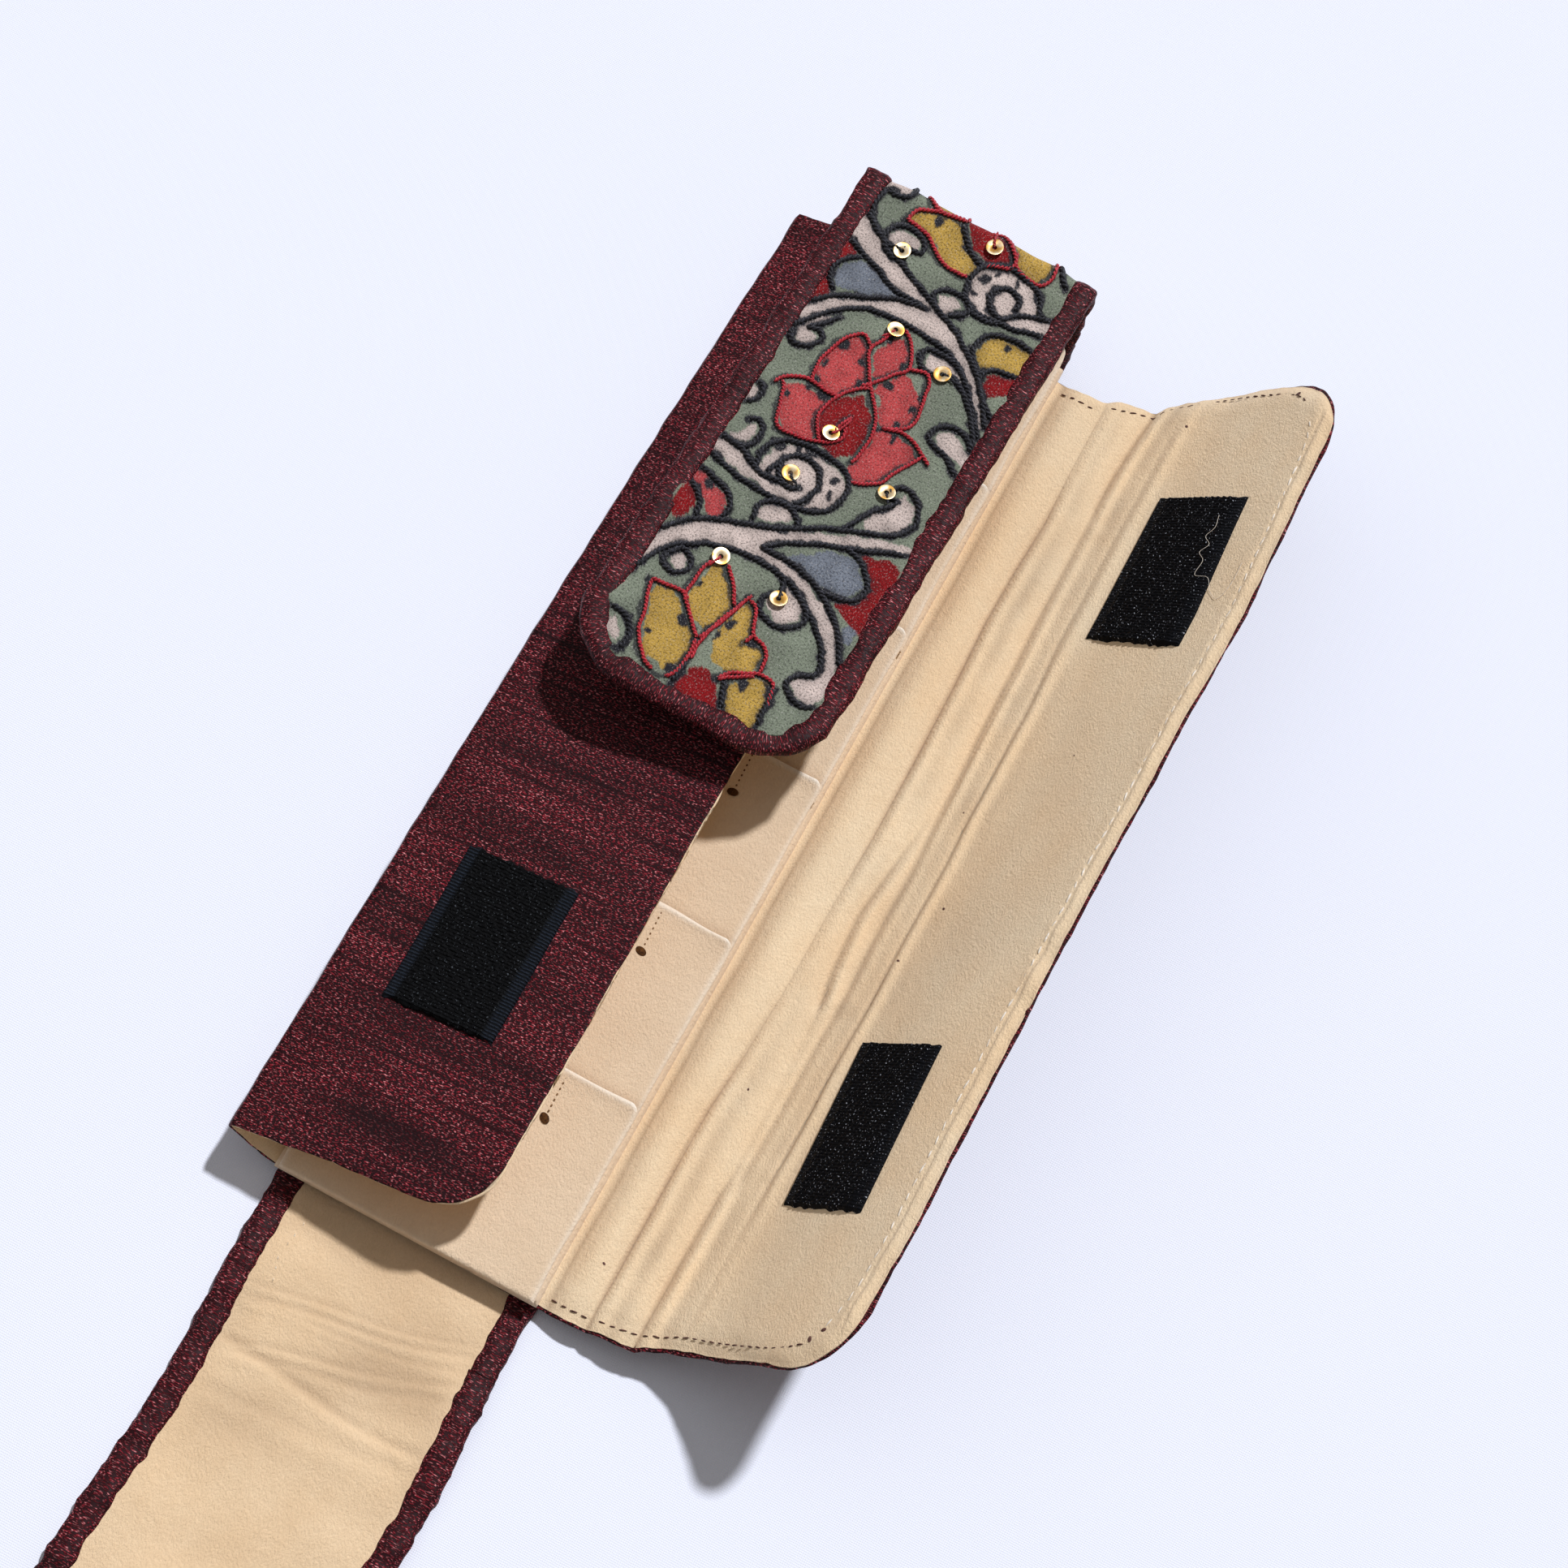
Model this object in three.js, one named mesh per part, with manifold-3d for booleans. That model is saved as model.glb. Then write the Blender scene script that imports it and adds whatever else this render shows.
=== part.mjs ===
// Earring pouch: a long case of slubbed silk that wraps around six hinged cloth leaves
// and is held shut by a broad bound strap sewn lengthwise under it.
// Millimetres. X runs across the case, Y along it towards the strap's folded end, Z up.
// The origin is the middle of the strap's underside, on the plane that the pouch lies on.
import * as THREE from 'three';
import { mergeVertices } from 'three/addons/utils/BufferGeometryUtils.js';
import Module from 'manifold-3d';

const wasm = await Module();
wasm.setup();

// The case
const CASE_LENGTH = 260;
const BASE_WIDTH = 65.2;
const FLAP_CORNER = 13;
const LEFT_WALL_LENGTH = 13.8;
const LEFT_WALL_ANGLE = 136.3;
const LEFT_FLAP_LENGTH = 58;
const LEFT_FLAP_ANGLE = 10.6;
const SPINE_RUN = 24.6;
const SPINE_RISE = 4.6;
const SPINE_RIDGE = 0.45;
const SPINE_RIDGES = 2;
const RIGHT_FLAP_LENGTH = 53.5;
const RIGHT_FLAP_START_ANGLE = 24;
const RIGHT_FLAP_ANGLE = 51;
const RIGHT_FLAP_BEND = 20;

// Cloth and board
const SILK = 0.7;
const STIFFENER = 0.6;
const LINING = 0.6;
const BASE_BOARD = 2;
const BOARD_INSET = 3;
const LAYER_GAP = 0.15;
const SEAT_GAP = 0.3;
const HINGE_CLEARANCE = 0.05;

// The strap
const STRAP_MARGIN = 1.6;
const STRAP_PANEL = 0.8;
const STRAP_LINING = 0.7;
const STRAP_LAYER_GAP = 0.3;
const BINDING_WIDTH = 6;
const BINDING_HEIGHT = 2.8;
const BINDING_GAP = 0.2;
const STRAP_CORNER = 17;
const TOP_HINGE_REACH = 3.4;
const TOP_RISER_LENGTH = 27.5;
const TOP_RISER_ANGLE = 76;
const TOP_FLAP_LENGTH = 147.5;
const TOP_FLAP_ANGLE = 177.5;
const TOP_FLAP_SKEW = -1.3;
const TAIL_HINGE_REACH = 4.2;
const TAIL_RISER_LENGTH = 28;
const TAIL_FLAP_LENGTH = 145;

// Hook and loop tape
const TAPE_WIDTH = 25.4;
const TAPE_LENGTH = 40;
const TAPE_THICKNESS = 1.1;
const LOWER_TAPE_INSET = 60.5;
const UPPER_TAPE_INSET = 47;
const LEFT_TAPE_START = 14.4;
const RIGHT_TAPE_START = 13.6;
const STRAP_TAPE_INSET = 9;

// The leaves
const LEAF_COUNT = 6;
const LEAF_LAP = 4.5;
const LEAF_MARGIN = 2.1;
const LEAF_BOARD = 0.8;
const LEAF_COVER = 0.7;
const LEAF_CORNER = 3;
const LEAF_OVERHANG = 1;
const LEAF_TOP_OVERHANG = 2.7;
const LEAF_HOLE_RADIUS = 0.8;
const LEAF_HOLE_SPACING = 27;
const LEAF_HOLE_INSET = 12;

// How finely bends and round corners are cut
const BEND_STEP = 2.5;
const CORNER_STEPS = 7;

// Worked out from the sizes above
const rad = THREE.MathUtils.degToRad;
const HALF_CASE = CASE_LENGTH / 2;
const lowerTape = LOWER_TAPE_INSET - HALF_CASE;
const upperTape = HALF_CASE - UPPER_TAPE_INSET;
const HALF_STRAP = BASE_WIDTH / 2 - STRAP_MARGIN;
const HALF_LEAF = BASE_WIDTH / 2 - LEAF_MARGIN;
const leafPitch = (CASE_LENGTH + LEAF_OVERHANG + LEAF_TOP_OVERHANG - LEAF_LAP) / LEAF_COUNT;
const leafLength = leafPitch + LEAF_LAP;
const baseBottom = BINDING_HEIGHT + SEAT_GAP;
const silkMiddle = baseBottom + SILK / 2;
const baseTop = baseBottom + SILK + BASE_BOARD + LINING + 2 * LAYER_GAP;
const leafThickness = LEAF_BOARD + LAYER_GAP + LEAF_COVER;

// Finishes
function cloth(color, roughness) {
  return new THREE.MeshStandardMaterial({ color, roughness, metalness: 0, side: THREE.DoubleSide });
}
const silkFinish = cloth(0x4a1218, 0.55);
const liningFinish = cloth(0xe1c69f, 0.9);
const strapLiningFinish = cloth(0xe9c48c, 0.9);
const panelFinish = cloth(0x73806a, 0.95);
const boardFinish = cloth(0xb9a587, 0.95);
const tapeFinish = cloth(0x0b0d14, 0.8);

// A path in two dimensions, measured by arc length, that runs straight on past its ends.
class Path {
  constructor(points) {
    this.points = points.map(([a, b]) => new THREE.Vector2(a, b));
    this.marks = [0];
    for (let i = 1; i < this.points.length; i += 1) {
      this.marks.push(this.marks[i - 1] + this.points[i].distanceTo(this.points[i - 1]));
    }
    this.length = this.marks.at(-1);
  }

  segmentAt(s) {
    let i = 0;
    while (i < this.points.length - 2 && s > this.marks[i + 1]) i += 1;
    return i;
  }

  direction(i) {
    return this.points[i + 1].clone().sub(this.points[i]).normalize();
  }

  // The place at arc length s, and the normal there, shared by the segments that meet at a point.
  at(s) {
    const i = this.segmentAt(s);
    const along = this.direction(i);
    const place = this.points[i].clone().addScaledVector(along, s - this.marks[i]);
    const turn = along.clone();
    const near = (mark) => Math.abs(s - mark) < 1e-6;
    if (i > 0 && near(this.marks[i])) turn.add(this.direction(i - 1));
    if (i < this.points.length - 2 && near(this.marks[i + 1])) turn.add(this.direction(i + 1));
    turn.normalize();
    return { place, normal: new THREE.Vector2(-turn.y, turn.x) };
  }
}

function straightPath(length, degrees) {
  return new Path([[0, 0], [length * Math.cos(rad(degrees)), length * Math.sin(rad(degrees))]]);
}

// The right spine rises from the base in soft ridges.
function spinePath() {
  const count = Math.round(SPINE_RUN / BEND_STEP) * 2;
  const points = [];
  for (let i = 0; i <= count; i += 1) {
    const t = i / count;
    const ridge = SPINE_RIDGE * Math.sin(2 * Math.PI * SPINE_RIDGES * t);
    points.push([SPINE_RUN * t, SPINE_RISE * t + ridge]);
  }
  return new Path(points);
}

// The right flap leaves the spine at a low angle, bends up, and stands straight from there.
function rightFlapPath() {
  const points = [[0, 0]];
  const step = RIGHT_FLAP_BEND / Math.round(RIGHT_FLAP_BEND / BEND_STEP);
  let [x, z] = points[0];
  for (let s = 0; s < RIGHT_FLAP_BEND - step / 2; s += step) {
    const t = (s + step / 2) / RIGHT_FLAP_BEND;
    const angle = rad(THREE.MathUtils.lerp(RIGHT_FLAP_START_ANGLE, RIGHT_FLAP_ANGLE, t));
    x += step * Math.cos(angle);
    z += step * Math.sin(angle);
    points.push([x, z]);
  }
  const rest = RIGHT_FLAP_LENGTH - RIGHT_FLAP_BEND;
  points.push([x + rest * Math.cos(rad(RIGHT_FLAP_ANGLE)), z + rest * Math.sin(rad(RIGHT_FLAP_ANGLE))]);
  return new Path(points);
}

// How far a layer keeps back from a fold, so that it clears the other side when it is turned.
function setback(height, turn) {
  return height * Math.tan(rad(turn) / 2) + HINGE_CLEARANCE;
}

// Arc lengths at which a strip is cut: its ends, the path's bends, and its round far corners.
function stationsOf(path, from, to, corner) {
  const marks = path.marks.filter((mark) => mark > from + 0.01 && mark < to - corner - 0.01);
  const stations = [from, ...marks];
  if (corner > 0) {
    for (let i = 0; i <= CORNER_STEPS; i += 1) {
      stations.push(to - corner + corner * Math.sin((i / CORNER_STEPS) * Math.PI / 2));
    }
  } else {
    stations.push(to);
  }
  return stations;
}

// A closed body from rings of four points each, with its faces turned outwards.
function bodyOfRings(rings) {
  const positions = rings.flat(2);
  const index = [];
  const last = (rings.length - 1) * 4;
  for (let r = 0; r < rings.length - 1; r += 1) {
    for (let c = 0; c < 4; c += 1) {
      const a = r * 4 + c;
      const b = r * 4 + ((c + 1) % 4);
      index.push(a, b, b + 4, a, b + 4, a + 4);
    }
  }
  index.push(0, 2, 1, 0, 3, 2, last, last + 1, last + 2, last, last + 2, last + 3);
  const geometry = new THREE.BufferGeometry();
  geometry.setAttribute('position', new THREE.Float32BufferAttribute(positions, 3));
  geometry.setIndex(signedVolume(positions, index) > 0 ? index : turnedOver(index));
  return geometry;
}

function signedVolume(positions, index) {
  const corner = (i) => new THREE.Vector3().fromArray(positions, index[i] * 3);
  let volume = 0;
  for (let i = 0; i < index.length; i += 3) {
    volume += corner(i).dot(corner(i + 1).cross(corner(i + 2))) / 6;
  }
  return volume;
}

function turnedOver(index) {
  const turned = [];
  for (let i = 0; i < index.length; i += 3) turned.push(index[i], index[i + 2], index[i + 1]);
  return turned;
}

// A strip of cloth or board that follows a path between two arc lengths. Its faces lie at the
// offsets low and high from the path, its sides at left and right, and its far corners are round.
function strip({ path, from, to, low, high, left, right, corner = 0, across }) {
  const rings = stationsOf(path, from, to, corner).map((s) => {
    const { place, normal } = path.at(s);
    const reach = Math.max(0, s - (to - corner));
    const inset = corner - Math.sqrt(Math.max(0, corner * corner - reach * reach));
    const put = (offset, side) => {
      const a = place.x + normal.x * offset;
      const b = place.y + normal.y * offset;
      return across === 'x' ? [side, a, b] : [a, side, b];
    };
    const lowSide = left + inset;
    const highSide = right - inset;
    return [put(low, lowSide), put(low, highSide), put(high, highSide), put(high, lowSide)];
  });
  return bodyOfRings(rings);
}

function toManifold(geometry) {
  const plain = geometry.clone();
  plain.deleteAttribute('normal');
  plain.deleteAttribute('uv');
  const merged = mergeVertices(plain, 1e-5);
  const vertProperties = new Float32Array(merged.attributes.position.array);
  const triVerts = new Uint32Array(merged.index.array);
  return new wasm.Manifold(new wasm.Mesh({ numProp: 3, vertProperties, triVerts }));
}

function cutAway(geometry, tools) {
  let solid = toManifold(geometry);
  for (const tool of tools) solid = solid.subtract(toManifold(tool));
  const mesh = solid.getMesh();
  const cut = new THREE.BufferGeometry();
  cut.setAttribute('position', new THREE.Float32BufferAttribute(mesh.vertProperties, 3));
  cut.setIndex([...mesh.triVerts]);
  return cut;
}

function addPiece(group, name, geometry, material) {
  const mesh = new THREE.Mesh(geometry, material);
  mesh.name = name;
  group.add(mesh);
}

function groupAt(parent, x, y, z) {
  const group = new THREE.Group();
  group.position.set(x, y, z);
  parent.add(group);
  return group;
}

// The layers of the case, as offsets from the middle of the silk towards the inside.
const silkLayer = [-SILK / 2, SILK / 2];
const thinLining = [SILK / 2 + LAYER_GAP, SILK / 2 + LAYER_GAP + LINING];
const stiffenerLayer = [thinLining[0], thinLining[0] + STIFFENER];
const flapLining = [stiffenerLayer[1] + LAYER_GAP, stiffenerLayer[1] + LAYER_GAP + LINING];

// One layer of the case: inside is 1 where the lining lies on the path's left, and -1 on its right.
// A board keeps an inset from the sewn edges and from the folds, and cloth has none.
function caseLayer({ path, inside, layer, from, to, corner = 0, inset = 0 }) {
  const [low, high] = layer.map((offset) => offset * inside);
  return strip({ path, from: from + inset, to: to - inset, low, high, across: 'y',
    left: inset - HALF_CASE, right: HALF_CASE - inset, corner: Math.max(0, corner - inset) });
}

// A patch of hook or loop tape that lies on the given face of a flap.
function tapePatch(path, face, start, middle) {
  const sign = Math.sign(face);
  const low = face + sign * LAYER_GAP;
  const high = low + sign * TAPE_THICKNESS;
  const left = middle - TAPE_LENGTH / 2;
  const right = middle + TAPE_LENGTH / 2;
  return strip({ path, from: start, to: start + TAPE_WIDTH, low, high, left, right, across: 'y' });
}

// The largest turn that each fold of the case makes, which sets how far its layers keep back.
const LEFT_BASE_TURN = 180 - LEFT_WALL_ANGLE;
const LEFT_FOLD_TURN = LEFT_WALL_ANGLE - LEFT_FLAP_ANGLE;
const RIGHT_BASE_TURN = 92;
const RIGHT_FOLD_TURN = 96;

const pouch = new THREE.Group();

// Base: silk outside, a board, and the lining that the leaves are sewn to.
function addBase() {
  const base = groupAt(pouch, 0, 0, silkMiddle);
  const path = new Path([[-BASE_WIDTH / 2, 0], [BASE_WIDTH / 2, 0]]);
  const boardLayer = [thinLining[0], thinLining[0] + BASE_BOARD];
  const liningLayer = [boardLayer[1] + LAYER_GAP, boardLayer[1] + LAYER_GAP + LINING];
  const layers = [['base_silk', silkLayer, silkFinish, silkLayer[1], 0],
    ['base_board', boardLayer, boardFinish, liningLayer[1], BOARD_INSET],
    ['base_lining', liningLayer, liningFinish, liningLayer[1], 0]];
  for (const [name, layer, finish, height, inset] of layers) {
    const from = setback(height, LEFT_BASE_TURN);
    const to = BASE_WIDTH - setback(height, RIGHT_BASE_TURN);
    addPiece(base, name, caseLayer({ path, inside: 1, layer, from, to, inset }), finish);
  }
}

// The three layers of a flap: silk, a board between, and the lining.
function addFlapLayers(group, name, path, inside, turn) {
  const layers = [['silk', silkLayer, silkFinish, 0],
    ['stiffener', stiffenerLayer, boardFinish, BOARD_INSET],
    ['lining', flapLining, liningFinish, 0]];
  for (const [piece, layer, finish, inset] of layers) {
    const from = setback(layer[1], turn);
    const sizes = { path, inside, layer, from, to: path.length, corner: FLAP_CORNER, inset };
    addPiece(group, `${name}_${piece}`, caseLayer(sizes), finish);
  }
}

// Left wall and left flap: the wall leans out and the flap is folded back over the leaves.
function addLeftSide() {
  const wall = groupAt(pouch, -BASE_WIDTH / 2, 0, silkMiddle);
  const wallPath = straightPath(LEFT_WALL_LENGTH, LEFT_WALL_ANGLE);
  const wallLayers = [['left_wall_silk', silkLayer, silkFinish],
    ['left_wall_lining', thinLining, liningFinish]];
  for (const [name, layer, finish] of wallLayers) {
    const from = setback(layer[1], LEFT_BASE_TURN);
    const to = LEFT_WALL_LENGTH - setback(layer[1], LEFT_FOLD_TURN);
    addPiece(wall, name, caseLayer({ path: wallPath, inside: -1, layer, from, to }), finish);
  }

  const fold = wallPath.points.at(-1);
  const flap = groupAt(wall, fold.x, 0, fold.y);
  const flapPath = straightPath(LEFT_FLAP_LENGTH, LEFT_FLAP_ANGLE);
  addFlapLayers(flap, 'left_flap', flapPath, -1, LEFT_FOLD_TURN);
  for (const [name, middle] of [['loop_patch_lower', lowerTape], ['loop_patch_upper', upperTape]]) {
    addPiece(flap, name, tapePatch(flapPath, silkLayer[1], LEFT_TAPE_START, middle), tapeFinish);
  }
}

// Right spine and right flap: both lie open, with the flap's lining and hook tape showing.
function addRightSide() {
  const spine = groupAt(pouch, BASE_WIDTH / 2, 0, silkMiddle);
  const path = spinePath();
  for (const [name, layer, finish] of [['right_spine_silk', silkLayer, silkFinish],
    ['right_spine_lining', thinLining, liningFinish]]) {
    const from = setback(layer[1], RIGHT_BASE_TURN);
    const to = path.length - setback(layer[1], RIGHT_FOLD_TURN);
    addPiece(spine, name, caseLayer({ path, inside: 1, layer, from, to }), finish);
  }

  const flap = groupAt(spine, SPINE_RUN, 0, SPINE_RISE);
  const flapPath = rightFlapPath();
  addFlapLayers(flap, 'right_flap', flapPath, 1, RIGHT_FOLD_TURN);
  for (const [name, middle] of [['hook_patch_lower', lowerTape], ['hook_patch_upper', upperTape]]) {
    addPiece(flap, name, tapePatch(flapPath, flapLining[1], RIGHT_TAPE_START, middle), tapeFinish);
  }
}

// The layers of the strap, as offsets from the middle of its outer panel towards its lining.
const panelLayer = [-STRAP_PANEL / 2, STRAP_PANEL / 2];
const strapLiningLayer = [panelLayer[1] + STRAP_LAYER_GAP, panelLayer[1] + STRAP_LAYER_GAP + STRAP_LINING];
const bindingLayer = [panelLayer[0], panelLayer[0] + BINDING_HEIGHT];
const TOP_FOLD_TURN = TOP_FLAP_ANGLE - TOP_RISER_ANGLE;
const TAIL_FOLD_TURN = 90;

// One stretch of the strap between two folds: panel, lining and a binding along each side.
function addStrapStretch(group, name, path, inside, turns) {
  const inner = HALF_STRAP - BINDING_WIDTH;
  const pieces = [['panel', panelLayer, panelFinish, [-inner + BINDING_GAP, inner - BINDING_GAP]],
    ['lining', strapLiningLayer, strapLiningFinish, [-inner + BINDING_GAP, inner - BINDING_GAP]],
    ['binding_left', bindingLayer, silkFinish, [-HALF_STRAP, -inner]],
    ['binding_right', bindingLayer, silkFinish, [inner, HALF_STRAP]]];
  for (const [piece, layer, finish, [left, right]] of pieces) {
    const [from, back] = turns.map((turn) => setback(layer[1], turn));
    const to = path.length - back;
    const [low, high] = layer.map((offset) => offset * inside);
    const geometry = strip({ path, from, to, low, high, left, right, across: 'x' });
    addPiece(group, `${name}_${piece}`, geometry, finish);
  }
}

// A round end of the strap: panel and lining inside one binding that runs around the end.
function addStrapEnd(group, name, path, inside, turn) {
  const layerStrip = (layer, from, margin, extra) => {
    const [low, high] = [(layer[0] - extra) * inside, (layer[1] + extra) * inside];
    const right = HALF_STRAP - margin;
    const corner = STRAP_CORNER - margin;
    const to = path.length - margin;
    return strip({ path, from, to, low, high, left: -right, right, corner, across: 'x' });
  };
  const inset = BINDING_WIDTH + BINDING_GAP;
  const panelBack = setback(panelLayer[1], turn);
  const liningBack = setback(strapLiningLayer[1], turn);
  const bindingBack = setback(bindingLayer[1], turn);
  addPiece(group, `${name}_panel`, layerStrip(panelLayer, panelBack, inset, 0), panelFinish);
  addPiece(group, `${name}_lining`, layerStrip(strapLiningLayer, liningBack, inset, 0), strapLiningFinish);
  const outer = layerStrip(bindingLayer, bindingBack, 0, 0);
  const window = layerStrip(bindingLayer, bindingBack - BINDING_WIDTH, BINDING_WIDTH, 1);
  addPiece(group, `${name}_binding`, cutAway(outer, [window]), silkFinish);
}

// A patch of tape across the strap, close to its round end.
function addStrapTape(group, name, path, face, inside) {
  const sign = Math.sign(face);
  const low = (face + sign * LAYER_GAP) * inside;
  const high = low + sign * TAPE_THICKNESS * inside;
  const to = path.length - STRAP_TAPE_INSET;
  const [left, right] = [-TAPE_LENGTH / 2, TAPE_LENGTH / 2];
  const geometry = strip({ path, from: to - TAPE_WIDTH, to, low, high, left, right, across: 'x' });
  addPiece(group, name, geometry, tapeFinish);
}

// The strap, from the end that is folded over the case to the tail that lies on the table.
// The tail rests on the loop tape on its outer face, so it rises a little towards its end.
function addStrap() {
  const height = STRAP_PANEL / 2;
  const topHinge = HALF_CASE + TOP_HINGE_REACH;
  const tailHinge = -HALF_CASE - TAIL_HINGE_REACH;

  const middle = groupAt(pouch, 0, tailHinge, height);
  const middlePath = straightPath(topHinge - tailHinge, 0);
  addStrapStretch(middle, 'strap_middle', middlePath, 1, [TAIL_FOLD_TURN, TOP_RISER_ANGLE]);

  const riser = groupAt(pouch, 0, topHinge, height);
  const riserPath = straightPath(TOP_RISER_LENGTH, TOP_RISER_ANGLE);
  addStrapStretch(riser, 'strap_top_riser', riserPath, 1, [TOP_RISER_ANGLE, TOP_FOLD_TURN]);
  const fold = riserPath.points.at(-1);
  const flap = groupAt(riser, 0, fold.x, fold.y);
  flap.rotation.z = rad(TOP_FLAP_SKEW);
  const flapPath = straightPath(TOP_FLAP_LENGTH, TOP_FLAP_ANGLE);
  addStrapEnd(flap, 'strap_top_flap', flapPath, 1, TOP_FOLD_TURN);
  addStrapTape(flap, 'hook_patch_strap', flapPath, strapLiningLayer[1], 1);

  const tailRiser = groupAt(pouch, 0, tailHinge, height);
  const tailRiserPath = straightPath(TAIL_RISER_LENGTH, 180);
  addStrapStretch(tailRiser, 'strap_tail_riser', tailRiserPath, -1, [TAIL_FOLD_TURN, TAIL_FOLD_TURN]);
  const tail = groupAt(tailRiser, 0, -TAIL_RISER_LENGTH, 0);
  const tapeStart = TAIL_FLAP_LENGTH - STRAP_TAPE_INSET - TAPE_WIDTH;
  const lift = THREE.MathUtils.radToDeg(Math.asin((LAYER_GAP + TAPE_THICKNESS) / tapeStart));
  const tailPath = straightPath(TAIL_FLAP_LENGTH, 180 - lift);
  addStrapEnd(tail, 'strap_tail_flap', tailPath, -1, TAIL_FOLD_TURN);
  addStrapTape(tail, 'loop_patch_strap', tailPath, panelLayer[0], -1);
}

// Six leaves, shingled: each is sewn down along its lower edge and lies on the next one's.
function addLeaves() {
  const tilt = Math.asin((leafThickness + SEAT_GAP) / leafPitch);
  const path = straightPath(leafLength, 0);
  const holes = [-1, 1].map((side) => {
    const hole = new THREE.CylinderGeometry(LEAF_HOLE_RADIUS, LEAF_HOLE_RADIUS, 4 * leafThickness, 8);
    hole.rotateX(Math.PI / 2);
    hole.translate(side * LEAF_HOLE_SPACING / 2, leafLength - LEAF_HOLE_INSET, 0);
    return hole;
  });
  const boardLow = -leafThickness / 2;
  const layers = [['board', boardLow, boardLow + LEAF_BOARD, boardFinish],
    ['cover', boardLow + LEAF_BOARD + LAYER_GAP, -boardLow, liningFinish]];
  for (let k = 1; k <= LEAF_COUNT; k += 1) {
    const y = -HALF_CASE - LEAF_OVERHANG + (k - 1) * leafPitch;
    const leaf = groupAt(pouch, 0, y, baseTop + SEAT_GAP + leafThickness / 2);
    leaf.rotation.x = tilt;
    for (const [name, low, high, finish] of layers) {
      const sheet = strip({ path, from: 0, to: leafLength, low, high, left: -HALF_LEAF, right: HALF_LEAF,
        corner: LEAF_CORNER, across: 'x' });
      addPiece(leaf, `leaf_${k}_${name}`, cutAway(sheet, holes), finish);
    }
  }
}

addBase();
addLeftSide();
addRightSide();
addStrap();
addLeaves();

export default pouch;
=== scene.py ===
import math

import bpy
import numpy as np
from mathutils import Matrix


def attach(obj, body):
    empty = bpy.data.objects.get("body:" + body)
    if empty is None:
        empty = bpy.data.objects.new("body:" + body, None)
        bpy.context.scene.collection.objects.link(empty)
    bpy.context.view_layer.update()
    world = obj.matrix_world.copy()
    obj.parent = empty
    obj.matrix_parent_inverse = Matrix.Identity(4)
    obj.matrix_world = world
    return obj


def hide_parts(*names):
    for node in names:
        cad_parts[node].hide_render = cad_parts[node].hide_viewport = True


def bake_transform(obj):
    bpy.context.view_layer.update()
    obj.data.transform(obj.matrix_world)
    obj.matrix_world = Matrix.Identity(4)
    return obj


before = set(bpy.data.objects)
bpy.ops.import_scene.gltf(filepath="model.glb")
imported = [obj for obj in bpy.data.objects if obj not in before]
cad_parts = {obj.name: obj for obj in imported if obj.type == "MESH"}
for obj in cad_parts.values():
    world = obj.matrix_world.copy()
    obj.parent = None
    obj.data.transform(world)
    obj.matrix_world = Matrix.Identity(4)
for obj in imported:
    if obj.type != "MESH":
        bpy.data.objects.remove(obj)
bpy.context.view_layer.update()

# The camera looks down on the pouch from beyond its lower end, a little from the right, and is
# rolled so that the pouch runs from the lower left to the upper right of the picture.
camera_height = math.radians(66.6)
camera_side = math.radians(12.6)
camera_roll = math.radians(16.0)
camera_distance = 0.7366
camera_target = np.array([0.0216, 0.00285, 0.0])
away = np.array([math.sin(camera_side) * math.cos(camera_height),
                 -math.cos(camera_side) * math.cos(camera_height),
                 math.sin(camera_height)])
level = np.array([math.cos(camera_side), math.sin(camera_side), 0.0])
upright = np.cross(away, level)
picture_right = math.cos(camera_roll) * level + math.sin(camera_roll) * upright
picture_up = math.cos(camera_roll) * upright - math.sin(camera_roll) * level
camera = bpy.data.objects.new("camera", bpy.data.cameras.new("camera"))
sensor_width = 36.0
focal_pixels, picture_pixels = 4000, 1932
camera.data.sensor_width = sensor_width
camera.data.lens = focal_pixels / picture_pixels * sensor_width
camera.data.clip_start = 0.02
camera.data.clip_end = 20.0
camera_place = camera_target + away * camera_distance
camera_frame = np.eye(4)
camera_frame[:3] = np.stack([picture_right, picture_up, away, camera_place], 1)
camera.matrix_world = Matrix(camera_frame.tolist())
bpy.context.scene.collection.objects.link(camera)
bpy.context.scene.camera = camera
bpy.context.scene.view_settings.view_transform = "Standard"


# The light is one lamp behind and above the pouch's upper end, a little to the right, whose shadows
# have fairly crisp edges, and a wide soft one above on the left. A slightly warm room fills the rest.
def add_lamp(name, towards, strength, wide):
    """A lamp far away in a direction, with the width in degrees that softens its shadows."""
    lamp = bpy.data.objects.new(name, bpy.data.lights.new(name, "SUN"))
    lamp.data.energy = strength
    lamp.data.color = (0.962, 0.983, 1.055)
    lamp.data.angle = math.radians(wide)
    towards = np.array(towards) / np.linalg.norm(towards)
    side = np.cross([0.0, 1.0, 0.0], towards)
    side /= np.linalg.norm(side)
    turned = np.eye(4)
    turned[:3] = np.stack([side, np.cross(towards, side), towards, towards * 2], 1)
    lamp.matrix_world = Matrix(turned.tolist())
    bpy.context.scene.collection.objects.link(lamp)


add_lamp("main_lamp", [0.15, 0.53, 0.83], 2.97, 4.0)
add_lamp("soft_lamp", [-0.45, -0.05, 0.88], 0.36, 75.0)
room = bpy.data.worlds.new("room")
bpy.context.scene.world = room
room.use_nodes = True
room.node_tree.nodes["Background"].inputs["Color"].default_value = (1.0, 0.94, 0.89, 1.0)
room.node_tree.nodes["Background"].inputs["Strength"].default_value = 0.15


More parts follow.
